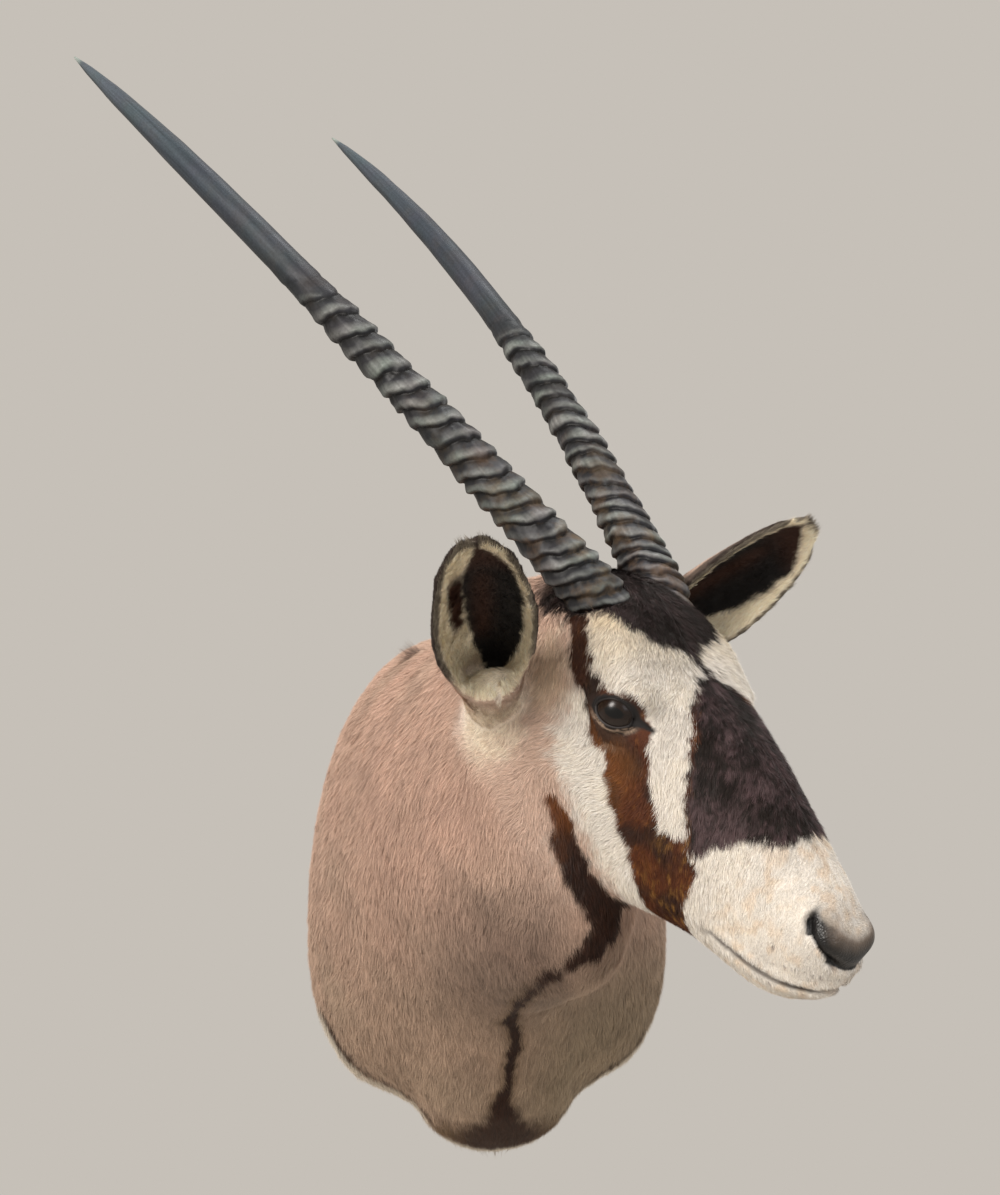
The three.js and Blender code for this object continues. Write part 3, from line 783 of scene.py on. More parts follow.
# %% Nostrils and mouth
def line_distance(points, line):
    """Distance to a line through a few points, how far along it the nearest point is, 0 to 1, and
    that nearest point."""
    line = np.asarray(line, dtype=float)
    best = np.full(len(points), np.inf)
    along = np.zeros(len(points))
    nearest = np.zeros((len(points), 3))
    for i, (start, end) in enumerate(zip(line[:-1], line[1:])):
        step = end - start
        share = np.clip((points - start) @ step / (step @ step), 0, 1)
        spot = start + share[:, None] * step
        gap = np.linalg.norm(points - spot, axis=1)
        closer = gap < best
        nearest[closer] = spot[closer]
        best = np.where(closer, gap, best)
        along = np.where(closer, (i + share) / (len(line) - 1), along)
    return best, along, nearest


NOSTRIL = [(286, 29, -63), (289, 32, -71), (295, 33, -77.5), (305, 29, -83.5), (314, 24, -87),
           (320, 17, -88.5), (324, 8, -89.5), (325, 0, -90)]
PAD_MIDDLE = np.array([306, 12, -64])
MOUTH = [(222, 35, -137), (240, 36, -132), (257, 35, -130), (275, 34, -128), (292, 30, -125),
         (304, 22, -121), (314, 15, -116), (322, 8, -110), (325, 0, -107)]
NOSTRIL_DEPTH = 6.5
MOUTH_DEPTH = 4.6


def mirrored(head_points):
    return head_points * (1, 0, 1) + np.abs(head_points) * (0, 1, 0)


def into_pad(head_points):
    """Distance from the nostrils' curved slit, above 0 towards the nose pad and below 0 outside
    it, and how far along the slit."""
    folded = mirrored(head_points)
    gap, along, nearest = line_distance(folded, NOSTRIL)
    towards = unit(PAD_MIDDLE - nearest)
    inside = np.sum((folded - nearest) * towards, axis=1) > 0
    return np.where(inside, gap, -gap), along


def shape_muzzle(thing):
    head_points = to_head(points_of(thing))
    outwards = normals_of(thing) @ HEAD_AXES.T
    slit, along = into_pad(head_points)
    open_share = ramp(along, 0, 0.12) * mix(1.0, 0.35, ramp(along, 0.55, 0.9))
    width = np.where(slit > 0, 5.0, 1.7)
    inwards = NOSTRIL_DEPTH * open_share * np.exp(-(slit / width) ** 2)
    inwards -= 1.3 * open_share * np.exp(-((slit + 4.5) / 2.2) ** 2)
    mouth, along, _ = line_distance(mirrored(head_points), MOUTH)
    opening = ramp(along, 0, 0.2) * (1 - 0.6 * ramp(along, 0.75, 1))
    inwards += MOUTH_DEPTH * opening * np.exp(-(mouth / 1.9) ** 2)
    inwards -= 1.6 * opening * np.exp(-((mouth - 6) / 4) ** 2)
    middle = np.exp(-(head_points[:, 1] / 1.8) ** 2) * ramp(head_points[:, 0], 312, 320)
    inwards += 1.4 * middle * ramp(-head_points[:, 2], 88, 94)
    inwards *= head_points[:, 0] > 215
    set_points(thing, from_head(head_points - outwards * inwards[:, None]))


shape_muzzle(skin)
print("nostrils and mouth shaped")

# %% [markdown]
# The neck is large and smooth, so it needs fewer faces than the head. A Decimate modifier merges
# the net's flattest places there, and a vertex group keeps it off the head, the ears and the rim.


# %% Coarser net on the neck
SKIN_TRIANGLES = 186000


def triangle_count(thing):
    thing.data.calc_loop_triangles()
    return len(thing.data.loop_triangles)


def thin_out(thing, chosen, wanted):
    """Merges faces where points are chosen, until the whole net has the wanted triangles."""
    group = thing.vertex_groups.new(name="thin")
    group.add(np.flatnonzero(chosen).tolist(), 1, "REPLACE")
    only(thing)
    thin = thing.modifiers.new("thin", "DECIMATE")
    thin.ratio = wanted / triangle_count(thing)
    thin.vertex_group = "thin"
    bpy.ops.object.modifier_apply(modifier="thin")
    thing.vertex_groups.remove(thing.vertex_groups["thin"])


head_net = to_head(points_of(skin))
on_neck = (head_net[:, 0] < -75) | (head_net[:, 2] < -235)
on_neck &= ~on_ear(head_net)[0] & (wall_distance(points_of(skin)) > 30)
thin_out(skin, on_neck, SKIN_TRIANGLES)
print("skin net, thinned:", triangle_count(skin), "triangles")

# %% [markdown]
# ## The coat
# A gemsbok's coat is short: pale fawn on the neck, with a nearly white face crossed by black-brown
# bands. The bands are given as outlines of a few points on the face, and as lines down the throat.
# One function then answers, for any place on the skin, what colour the hair is, how long it is,
# which way it lies and how far it stands up. The skin and every hair ask it the same question.

# %% Outlines of the dark bands, as (how far forwards, degrees from the forehead's middle)
CAP = [(-70, 0), (-66, 30), (-35, 46), (3, 43), (25, 35), (39, 31), (53, 28), (62, 23), (66, 15),
       (68, 8), (74, 3.5), (84, 2.2), (97, 3), (97, 0)]
BLAZE = [(92, 0), (95, 3), (102, 10), (109, 17), (121, 26), (136, 35), (148, 43), (160, 55),
         (165, 64), (176, 78), (190, 98), (200, 83), (210, 66), (218, 49), (228, 41), (236, 33),
         (240, 21), (241, 8), (241, 0)]
EYE_BAND = [(-2, 40), (20, 49), (38, 58), (48, 62), (61, 64), (69, 67), (77, 76), (85, 79),
            (97, 78), (106, 88), (118, 103), (132, 117), (145, 128), (155, 140), (165, 152),
            (178, 166), (188, 180), (216, 180), (211, 154), (205, 139), (206, 116), (203, 103),
            (194, 97), (184, 86), (174, 93), (164, 96), (153, 86), (141, 77), (133, 67),
            (123, 57), (118, 50), (110, 47), (98, 49), (84, 52), (71, 53), (57, 51), (41, 47),
            (16, 36)]
PALE_FACE = [(-20, 0), (-6, 34), (16, 46), (30, 52), (42, 60), (45, 70), (52, 88), (60, 103),
             (71, 113), (86, 127), (115, 144), (131, 155), (145, 164), (162, 180), (400, 180),
             (400, 0)]


def outline_distance(outline, x, around):
    """Distance to a closed outline in millimetres, negative inside it."""
    corners = np.array(outline, dtype=float) * (1, DEGREE)
    corners = np.concatenate([corners, corners[::-1] * (1, -1)]) if corners[0, 1] == 0 else corners
    px, py = x, around * DEGREE
    best = np.full(len(px), np.inf)
    inside = np.zeros(len(px), dtype=bool)
    for (ax, ay), (bx, by) in zip(corners, np.roll(corners, -1, axis=0)):
        length = (bx - ax) ** 2 + (by - ay) ** 2
        if length == 0:
            continue
        share = np.clip(((px - ax) * (bx - ax) + (py - ay) * (by - ay)) / length, 0, 1)
        best = np.minimum(best, np.hypot(px - ax - share * (bx - ax), py - ay - share * (by - ay)))
        if ay != by:
            crosses = (ay > py) != (by > py)
            inside ^= crosses & (px < ax + (bx - ax) * (py - ay) / (by - ay))
    return np.where(inside, -best, best)


test_x, test_around = np.array([150.0, 60.0]), np.array([5.0, 5.0])
print("in and out of the blaze:", outline_distance(BLAZE, test_x, test_around).round(1))

# %% Lines down the throat and neck, in the wall's frame
THROAT = [(33, -515, 100), (41, -513, 81), (46, -510, 61), (54, -506, 40), (66, -501, 23),
          (79, -492, 9), (75, -487, -5), (68, -482, -16), (58, -480, -23), (34, -455, -40),
          (17, -362, -76), (18, -268, -106), (23, -224, -133), (19, -181, -173), (15, -145, -209)]
THROAT_HALF_WIDTH = [4, 8, 10, 11, 11, 13, 13, 10, 8, 7, 5, 7, 5, 5.5, 10]
NAPE = [(52, -440, 262), (40, -425, 272), (28, -370, 264), (15, -305, 255), (5, -240, 252),
        (-3, -180, 254), (-8, -120, 259), (-12, 0, 264)]
NAPE_HALF_WIDTH = 8
SIDE_TUFT = np.array([-74, -204, 232])    # a small dark tuft on the neck's right side
TEMPLE = np.array([16, 76, -58])          # between the ear and the eye, in the head's frame
RIM_LINE = np.array([[-160, -94], [-127, -89], [-88, -84], [-46, -74], [0, -68], [111, -74],
                     [135, -80]])         # where the lines along the rim run, as x and y
BRISKET_MIDDLE_X = 17

# %% Hair colours
FAWN, ROSY_FAWN, GREY_FAWN = linear("b69c8a"), linear("c4a391"), linear("998770")
CREAM, WARM_CREAM, CHEEK = linear("ebe4da"), linear("dfceb0"), linear("cdb2a0")
BLACK_BROWN, PLUM_BROWN = linear("1b110b"), linear("564344")
RED_BROWN, ORANGE_BROWN, GOLDEN = linear("54280c"), linear("8a5524"), linear("a87838")
# The ears' cream is their own colour, made lighter as painted light against the shade in the cup.
EAR_CREAM, EAR_BLACK, EAR_RED = linear("fff0d4"), linear("0b0605"), linear("40200f")
EAR_RIM, MUZZLE_TINT = linear("1f120a"), linear("e6cdb0")
LID_BLACK, FOLD_PINK, BROWN_PATCH = linear("120d0c"), linear("a08a76"), linear("341f10")
NOSE_BLACK, NOSE_TAN, LIP_BROWN = linear("0b0909"), linear("93806f"), linear("2e2017")
PALE_UNDER, DULL_BROWN = linear("d2c8b8"), linear("6f573c")
EAR_OVAL = np.array([                     # how far round the cup the black reaches, in degrees:
    [0.06, 20, 26], [0.12, 8, 46], [0.2, -8, 72], [0.3, -22, 76], [0.5, -32, 64],   # share of the
    [0.66, -32, 56], [0.8, -30, 48], [0.9, -14, 34], [0.96, 8, 14]])    # length, outwards, inwards
EAR_OUTER_SHARE = {1: 1.5, -1: 0.45}      # how differently the black lies in the two ears
print("hair colours ready")


# %% [markdown]
# The coat is worked out part by part, as a painter lays it on: the neck's ground colour first, then
# the pale face, the dark bands, the lids, the throat, the brisket and the mane, the ears, and the
# bare nose last. Each part gets the same facts about the places, and changes the hair it is given.
# Lengths of hair are in millimetres, and its lift off the skin is in degrees.


# %% Facts about places on the skin
EDGE_WAVES = ((7, 9, 1), (4, 3, 2))       # height, size and seed of the waves in the bands' edges
HAIR_SCATTER = 2.2                        # how far a hair's own number moves it over a band's edge
JAW_LINE = np.array([[40, -150], [110, -182]])    # lowest part of the face, by how far forwards


def place_facts(points, normals, scatter):
    """What the parts of the coat need to know about points on the skin. Scatter is 0 for the skin
    itself, or each hair's own number, which blurs the bands' edges."""
    wall, head = points / MM, to_head(points)
    x, around = face_chart(head)
    ear, share, ear_angle, depth, half_angle = on_ear(head)
    edge_noise = HAIR_SCATTER * scatter
    for height, size, seed in EDGE_WAVES:
        edge_noise = edge_noise + height * (lumps(wall, size, seed) - 0.5)
    above_jaw = head[:, 2] - np.interp(x, *JAW_LINE.T)
    return SimpleNamespace(
        count=len(points), wall=wall, head=head, normals=normals, x=x, around=around,
        broad=lumps(wall, 60, 3), patchy=lumps(wall, 17, 4), fine=lumps(wall, 2.6, 5),
        ear=ear, share=share, ear_angle=ear_angle, depth=depth, half_angle=half_angle,
        edge_noise=edge_noise, on_face=ramp(x, -75, -30) * ramp(above_jaw, -24, 0) * ~ear)


print("facts for", place_facts(points_of(skin), normals_of(skin), 0).count, "places")


# %% The neck
NECK_HAIR, NECK_LIFT = 11.5, 13.0
NECK_FLOW = (0, 0.42, -1.0)


def neck_coat(at):
    """Fawn, rosier in places and greyer below, with painted shade at the lower right front, and
    with hair that runs down and to the wall.
    """
    low = ramp(-at.wall[:, 2], -60, 200)
    lower_right_shade = ramp(at.wall[:, 0], -20, 110) * ramp(-at.wall[:, 2], -20, 110)
    colour = mix(FAWN, ROSY_FAWN, at.broad)
    # The lower right front of the neck is made greyer as painted shade.
    colour = mix(colour, GREY_FAWN, np.clip(0.6 * low + 0.5 * lower_right_shade, 0, 1))
    return SimpleNamespace(
        colour=colour * (0.88 + 0.24 * at.patchy)[:, None],
        length=NECK_HAIR + 4 * low + 2 * (at.patchy - 0.5),
        lift=np.full(at.count, NECK_LIFT), flow=np.tile(NECK_FLOW, (at.count, 1)))


# %% The pale face
BROW_HAIR, CHEEK_HAIR, MUZZLE_HAIR = 9.5, 7.5, 3.8


def pale_face(at, hair):
    """Cream, warmer between the horns and tinted on the muzzle, with fawn cheeks behind it."""
    gap = outline_distance(PALE_FACE, at.x, at.around)
    at.pale = 1 - ramp(gap + 2.5 * at.edge_noise, -14, 12)
    forehead = (1 - ramp(at.around, 28, 62)) * (1 - ramp(at.x, 30, 95))
    cream = mix(CREAM, WARM_CREAM, np.clip(0.75 * forehead + 0.3 * (at.patchy - 0.3), 0, 1))
    tint = mix(CREAM, MUZZLE_TINT, ramp(lumps(at.wall, 6, 6), 0.45, 0.8))
    cream = mix(cream, tint, 0.45 * ramp(at.x, 215, 250)) * (0.9 + 0.16 * at.patchy)[:, None]
    hair.colour = mix(hair.colour, CHEEK, 0.8 * at.on_face * ramp(at.x, -50, 0) * (1 - at.pale))
    hair.colour = mix(hair.colour, cream, at.on_face * at.pale)
    length = mix(BROW_HAIR, CHEEK_HAIR, ramp(at.x, 60, 160))
    length = mix(length, MUZZLE_HAIR, ramp(at.x, 200, 275))
    hair.length = mix(hair.length, length, at.on_face * ramp(at.x, -60, 20))


# %% The dark bands
EYE_BAND_HAIR, BLAZE_HAIR, CAP_HAIR = 6.5, 8, 9


def band_browns(at):
    """The red brown of the band through the eye, with black, orange and golden hairs in it."""
    warm = mix(RED_BROWN, ORANGE_BROWN, ramp(at.fine, 0.55, 1.0) * 0.7)
    warm = mix(warm, BLACK_BROWN, 0.7 * ramp(at.patchy, 0.36, 0.7))
    warm = mix(warm, ORANGE_BROWN, 0.45 * (1 - ramp(at.x, 112, 140)) * ramp(at.around, 62, 72))
    golden = ramp(at.x, 150, 185) * ramp(lumps(at.wall, 3.2, 9), 0.6, 0.8)
    return mix(warm, GOLDEN, golden * 0.5)


def dark_bands(at, hair):
    cap = outline_distance(CAP, at.x, at.around) + at.edge_noise
    blaze = outline_distance(BLAZE, at.x, at.around) + at.edge_noise
    eye_band = outline_distance(EYE_BAND, at.x, at.around) + 0.7 * at.edge_noise
    warm = band_browns(at)
    plum = mix(BLACK_BROWN, PLUM_BROWN, ramp(0.5 * at.patchy + 0.5 * at.fine, 0.35, 0.75))
    side_edge = (1 - ramp(-blaze, 1, 7)) * ramp(at.around, 8, 22) * (1 - ramp(at.x, 185, 200))
    towards_horn = 0.55 * ramp(-at.x, -100, -60)
    for gap, dark, length in (
            (eye_band, mix(warm, BLACK_BROWN, towards_horn), EYE_BAND_HAIR),
            (blaze, mix(plum, warm, side_edge), BLAZE_HAIR),
            (cap, mix(plum, BLACK_BROWN, 0.65), CAP_HAIR)):
        inside = (1 - ramp(gap, -1.2, 1.2)) * at.on_face
        hair.colour = mix(hair.colour, dark, inside)
        hair.length = mix(hair.length, length, inside)


# %% Round the eyes
FOLD_SPACING = 0.24                       # as a share of the opening between the lids


def eye_surround(at, hair):
    """Black lids, paler folds under them, a brown patch below those, and the black tear crease."""
    for side in (1, -1):
        away = at.head - EYE_CENTRE[side]
        looking, lengthwise, _ = eye_frame(side)
        edge, below = lid_measure(away, side)
        edge = edge + 0.02 * at.edge_noise
        near_eye = (np.linalg.norm(away, axis=1) < 46) & (away @ looking > 0)
        beneath = ramp(below, 0.1, 0.5)
        rearwards = ramp(-(away @ lengthwise), -14, 2)
        patch = ramp(below, -0.15, 0.3) * ramp(edge, 1.45, 1.65) * (1 - ramp(edge, 2.2, 2.5))
        pale_fold = beneath * np.exp(-((edge - 2.62) / 0.1) ** 2)
        folds = beneath * ramp(edge, 1.08, 1.14) * (1 - ramp(edge, 1.5, 1.62))
        lines = 0.5 + 0.5 * np.cos((edge - LID_FOLDS[0][0]) * 2 * np.pi / FOLD_SPACING)
        rim = 1 - ramp(edge, 1.24 - 0.14 * beneath, 1.46 - 0.28 * beneath)
        for colour, share in (
                (BROWN_PATCH, 0.9 * patch * rearwards), (FOLD_PINK, 0.6 * pale_fold * rearwards),
                (mix(FOLD_PINK, LID_BLACK, lines ** 2), 0.85 * folds), (LID_BLACK, rim)):
            hair.colour = mix(hair.colour, colour, near_eye * share)
        shorter = mix(0.1, 1.0, ramp(edge, 1.2, 2.6))
        hair.length = np.where(near_eye, hair.length * shorter, hair.length)
    tear, along = tear_distance(at.x, at.around)
    in_tear = 1 - ramp(tear - mix(3.2, 0.4, along), 0, 1.6)
    hair.colour = mix(hair.colour, LID_BLACK, in_tear * at.on_face)
    hair.length = hair.length * mix(1.0, ramp(tear, 1.5, 8), at.on_face)


# %% The throat's dark line
THROAT_HAIR, TUFT_HAIR = 10, 6


def throat_line(at, hair):
    """A band down the jaw's corner, then a line with longer hair down the throat's middle, with
    painted shadow on the neck beside it under the jaw.
    """
    gap, along, _ = line_distance(at.wall, THROAT)
    beside = gap - np.interp(along, np.linspace(0, 1, len(THROAT)), THROAT_HALF_WIDTH)
    inside = (1 - ramp(beside + 0.6 * at.edge_noise, -1.5, 2.5)) * ~at.ear
    jaw_top = 1 - ramp(along + 0.1 * (at.patchy - 0.5), 0.02, 0.17)
    dark = mix(BLACK_BROWN, RED_BROWN, 0.1 + 0.25 * at.fine)
    dark = mix(dark, mix(RED_BROWN, ORANGE_BROWN, 0.6 * at.fine), jaw_top)
    # Painted shadow: the neck under the jaw, beside the throat line, is darkened as shade falls
    # there.
    shadowed = (1 - ramp(beside, 10, 150)) * ramp(along, 0.12, 0.3) * (1 - ramp(along, 0.7, 0.85))
    shadowed = shadowed * (1 - at.on_face * at.pale)
    near_side = 1 - ramp(at.wall[:, 0] + 0.3 * at.wall[:, 2], 20, 60)
    hair.colour = hair.colour * mix(1.0, 0.52, shadowed * near_side)[:, None]
    dull_edge = np.exp(-(np.maximum(beside, 0) / 6) ** 2) * ramp(along, 0.6, 0.75)
    hair.colour = mix(hair.colour, DULL_BROWN, dull_edge * 0.55)
    hair.colour = mix(hair.colour, dark, inside)
    tuft = inside * ramp(along, 0.28, 0.4) * (1 - ramp(along, 0.5, 0.58))
    at.under_jaw = (1 - ramp(beside, 8, 30)) * ramp(-at.wall[:, 1], 425, 460)
    hair.length = mix(hair.length, 8.0, at.under_jaw)
    hair.length = mix(hair.length, THROAT_HAIR + TUFT_HAIR * tuft, inside * (1 - 0.5 * jaw_top))
    hair.lift = mix(hair.lift, 14 + 6 * tuft, inside)


# %% The brisket and the skin's rim
BRISKET_HAIR = 15.0
BRISKET_TOP = (204, 232)                  # millimetres below the origin


def brisket(at, hair):
    """A dark patch at the bottom of the neck, and a dark and a white line along the skin's rim."""
    across = np.abs(at.wall[:, 0] - BRISKET_MIDDLE_X)
    below = -at.wall[:, 2]
    reach_up = 30 * np.exp(-(across / 16) ** 2) - 0.2 * across
    patch = ramp(below + reach_up + 1.6 * at.edge_noise, *BRISKET_TOP) * (at.wall[:, 1] > -190)
    patch = patch * ramp(-across + 1.5 * at.edge_noise, -92, -64)
    dark = mix(BLACK_BROWN, RED_BROWN, 0.1 + 0.3 * at.fine)
    dark = mix(dark, DULL_BROWN, ramp(across, 25, 70))
    hair.colour = mix(hair.colour, dark, patch * 0.95)
    hair.length = mix(hair.length, BRISKET_HAIR, patch)
    beyond = at.wall[:, 1] - np.interp(at.wall[:, 0], *RIM_LINE.T) + at.edge_noise
    under = ramp(below, 105, 140)
    rim_line = np.exp(-(beyond / 6.0) ** 2) * under * (1 - patch)
    rim_patch = ramp(beyond, -12, -4) * ramp(below, 112, 130) * (1 - ramp(below, 166, 182))
    rim_line = np.maximum(rim_line, rim_patch * (at.wall[:, 0] < -60))
    hair.colour = mix(hair.colour, BROWN_PATCH, rim_line * 0.9)
    white = ramp(beyond, 5, 14) * under * (1 - patch * (1 - ramp(below, 250, 260)))
    hair.colour = mix(hair.colour, PALE_UNDER, white * 0.85)


# %% The mane on the nape and the tuft on the neck's side
MANE_HAIR, MANE_LIFT = 20.0, 45.0
SIDE_TUFT_HAIR, SIDE_TUFT_LIFT = 19.0, 72.0


def mane(at, hair):
    gap, _, _ = line_distance(at.wall, NAPE)
    in_mane = (1 - ramp(gap - NAPE_HALF_WIDTH + at.edge_noise, -3, 4)) * ~at.ear
    away = np.linalg.norm((at.wall - SIDE_TUFT) * (1, 0.6, 1), axis=1)
    in_tuft = 1 - ramp(away + at.edge_noise, 2, 11)
    dark = mix(BLACK_BROWN, RED_BROWN, 0.4)
    hair.colour = mix(hair.colour, dark, np.maximum(in_mane, 0.75 * in_tuft) * 0.9)
    hair.length = mix(mix(hair.length, MANE_HAIR, in_mane), SIDE_TUFT_HAIR, in_tuft)
    hair.lift = mix(mix(hair.lift, MANE_LIFT, in_mane), SIDE_TUFT_LIFT, in_tuft)


# %% How hair lies on the face
def face_flow(at, hair):
    """Down the forehead, round the cheeks, back along the jaw, and straight down under it."""
    height = at.head[:, 2] - FACE_AXIS_Z
    sign = np.where(at.head[:, 1] < 0, -1.0, 1.0)
    reach = np.maximum(np.hypot(at.head[:, 1], height), 1)
    flow = np.stack([np.zeros(at.count), sign * height, -np.abs(at.head[:, 1])], axis=1)
    round_share = (0.25 + 0.75 * ramp(at.around, 2, 35)) * (1 - 0.7 * ramp(at.around, 125, 160))
    flow = flow / reach[:, None] * round_share[:, None]
    forwards = mix(0.75, -0.7, ramp(at.around, 60, 105) * (1 - ramp(at.x, 110, 190)))
    flow[:, 0] += forwards * (1 - 0.8 * ramp(at.x, 235, 290))
    hair.flow = mix(hair.flow, unit(flow) @ HEAD_AXES, at.on_face)
    hair.flow = mix(hair.flow, np.array([0.05, -0.05, -1.0]), at.under_jaw)


# %% The foot of each ear
FOOT_HAIR = 6.0


def ear_facts(at):
    """Where in the ear's cup a place is: its angle from the outer to the inner edge, and its
    distance from the cup's middle, inwards and forwards in millimetres."""
    left = at.head[:, 1] > 0
    at.inner_angle = np.where(left, -at.ear_angle, at.ear_angle)
    from_middle = ear_cup(at.share)[0] - at.depth
    at.inwards = from_middle * np.sin(np.radians(at.inner_angle))
    at.forwards_in_cup = -from_middle * np.cos(np.radians(at.ear_angle))
    return left


def ear_foot(at, hair):
    """Pale wrinkled skin below the cup, the cup's cream floor, and the point of its black, with
    painted light on skin that faces down and on the temple.
    """
    ear_facts(at)
    speckled = (0.85 + 0.3 * at.fine)[:, None]
    near_foot = np.zeros(at.count)
    for side in (1, -1):
        away = np.linalg.norm(at.head - EAR_ROOT[side] + 8 * EAR_AXIS[side], axis=1)
        near_foot = np.maximum(near_foot, 1 - ramp(away + 2 * at.edge_noise, 27, 55))
    light = np.mean(hair.colour, axis=1) >= 0.12
    # The temple is paler: partly the animal's own fawn patch, partly painted light against the
    # shade between the ear and the brow.
    from_temple = np.linalg.norm(mirrored(at.head) - TEMPLE, axis=1)
    temple = 1 - ramp(from_temple + 2 * at.edge_noise, 12, 40)
    hair.colour = mix(hair.colour, mix(CHEEK, WARM_CREAM, 0.6), 0.7 * temple * light)
    wrinkles = ramp(lumps(at.head * (1, 1, 0.14), 3.4, 10), 0.6, 0.72) * ramp(at.share, -0.4, -0.1)
    on_floor = (at.depth > 8) * ramp(at.share, 0.0, 0.04) * (1 - ramp(at.share, 0.3, 0.36))
    black = 10 * (1 - ramp(at.forwards_in_cup, -22, 4)) - np.abs(at.inwards - 9)
    black = black - 0.4 * at.edge_noise
    front = ramp(at.forwards_in_cup, 4, 22) * (1 - ramp(np.abs(at.inwards), 22, 34))
    front = front * ramp(at.share, -0.26, -0.12) * (1 - ramp(at.share, 0.3, 0.36))
    front = front * ramp(at.depth, -9, -4)
    # Painted light: skin that faces down, under the cup's lip, is painted pale cream against the
    # shade there.
    lightened_underside = ramp(-at.normals[:, 2], -0.1, 0.5) * (1 - on_floor)
    foot = mix(CHEEK, CREAM, 0.35 + 0.5 * at.patchy) * speckled
    for colour, share in (
            (DULL_BROWN, 0.75 * wrinkles * (at.inner_angle > 0)),
            (EAR_CREAM * speckled, 0.8 * on_floor),
            (EAR_BLACK, on_floor * ramp(black, -1, 1.5)),
            (CREAM * (0.8 + 0.3 * at.fine)[:, None], 0.7 * front * (1 - on_floor)),
            (DULL_BROWN, 0.6 * front * wrinkles),
            (EAR_CREAM, 0.6 * lightened_underside)):
        foot = mix(foot, colour, share)
    near_foot = np.maximum(near_foot, np.maximum(on_floor, front)) * light
    hair.colour = mix(hair.colour, foot, near_foot * (0.8 + 0.2 * on_floor))
    hair.length = mix(hair.length, FOOT_HAIR, near_foot)


# %% The ears' cups
CUP_HAIR, CUP_BORDER_HAIR, EAR_BACK_HAIR = 4.0, 3.5, 3.6
CUP_LIFT, EAR_BACK_LIFT = 14.0, 9.0


def cup_colours(at, left):
    """Black with a red sheen in the middle of the cup, a cream border, and a brown streak in it.
    Also gives the black's own share."""
    outer, inner = (np.interp(at.share, EAR_OVAL[:, 0], EAR_OVAL[:, k]) for k in (1, 2))
    outer = outer * np.where(left, EAR_OUTER_SHARE[1], EAR_OUTER_SHARE[-1])
    beyond = np.maximum(outer - at.inner_angle, at.inner_angle - inner)
    in_oval = (1 - ramp(beyond + 0.9 * at.edge_noise, -4, 4)) * ramp(at.share, 0.05, 0.08)
    red = np.exp(-((at.inner_angle - 8) / 14) ** 2)
    red = red * ramp(at.share, 0.25, 0.4) * ramp(-at.share, -0.9, -0.7)
    red = np.maximum(red, ramp(at.share, 0.74, 0.9))
    streak = 1 - ramp(np.abs(at.inner_angle + 27) + 1.2 * at.edge_noise, 8, 13)
    streak = streak * ramp(at.share, 0.4, 0.46) * ramp(-at.share, -0.86, -0.76) * ~left
    border = mix(EAR_CREAM * (0.85 + 0.3 * at.fine)[:, None], EAR_RED, streak)
    return mix(border, mix(EAR_BLACK, EAR_RED, red * 0.75), in_oval), in_oval


def ears(at, hair):
    """Black inside with a cream border, fawn behind with a dark rim."""
    left = ear_facts(at)
    inside_cup = at.depth > EAR_WALL * 0.5
    cup, in_oval = cup_colours(at, left)
    rim_gap = at.half_angle - np.abs(at.ear_angle)
    dark_rim = 1 - ramp(rim_gap + 0.5 * at.edge_noise, 1, 5)
    dark_rim = np.maximum(dark_rim, ramp(at.share, 0.955, 0.985)) * ramp(at.share, 0.22, 0.4)
    back_rim = ramp(18 - rim_gap, 0, 8) * ramp(at.share, 0.3, 0.5)
    back = mix(mix(FAWN, CHEEK, at.patchy), EAR_RIM, back_rim * 0.8)
    colour = mix(np.where(inside_cup[:, None], cup, back), EAR_RIM, dark_rim * 0.85)
    low_start = at.ear & (in_oval > 0.5) & inside_cup
    blade = at.ear * np.where(low_start, ramp(at.share, 0.02, 0.06), ramp(at.share, 0.1, 0.24))
    hair.colour = mix(hair.colour, colour, blade)
    cup_hair = CUP_HAIR + CUP_BORDER_HAIR * (1 - in_oval)
    hair.length = mix(hair.length, np.where(inside_cup, cup_hair, EAR_BACK_HAIR), blade)
    hair.lift = mix(hair.lift, np.where(inside_cup, CUP_LIFT, EAR_BACK_LIFT), blade)
    upwards = np.where(left[:, None], EAR_AXIS[1], EAR_AXIS[-1]) @ HEAD_AXES
    hair.flow = np.where(at.ear[:, None], upwards, hair.flow)


# %% The bare nose and the lips
def nose(at, hair):
    """Bare black skin, tan where it meets the hair, with brown lips and dark whisker spots."""
    slit, _ = into_pad(at.head)
    fade = 25 + 5 * (lumps(at.wall, 5, 7) - 0.5)
    pad = mix(NOSE_BLACK, NOSE_TAN, ramp(slit, 9.0, fade + 4))
    bare = ramp(at.x, 270, 280) * (slit < 34) * ramp(slit, -2.2, -0.5)
    bare = bare * (1 - ramp(slit + 0.5 * at.edge_noise, 19, 29)) * ramp(at.x, 283, 288)
    hair.bare = bare * ramp(-at.head[:, 2] + 0.5 * at.edge_noise, 56, 67)
    hair.colour = mix(hair.colour, pad, hair.bare)
    mouth = line_distance(mirrored(at.head), MOUTH)[0]
    lips = (1 - ramp(mouth, 2.0, 4.4)) * ramp(at.x, 218, 235) * (1 - 0.6 * ramp(at.x, 312, 320))
    hair.colour = mix(hair.colour, LIP_BROWN, lips * 0.85)
    hair.length = hair.length * (1 - hair.bare) * (1 - 0.75 * lips)
    whisker = ramp(lumps(at.wall, 2.4, 8), 0.82, 0.88)
    whisker = whisker * ramp(at.x, 262, 285) * ramp(at.around, 70, 95)
    hair.colour = mix(hair.colour, PLUM_BROWN, whisker * (1 - hair.bare) * 0.7)


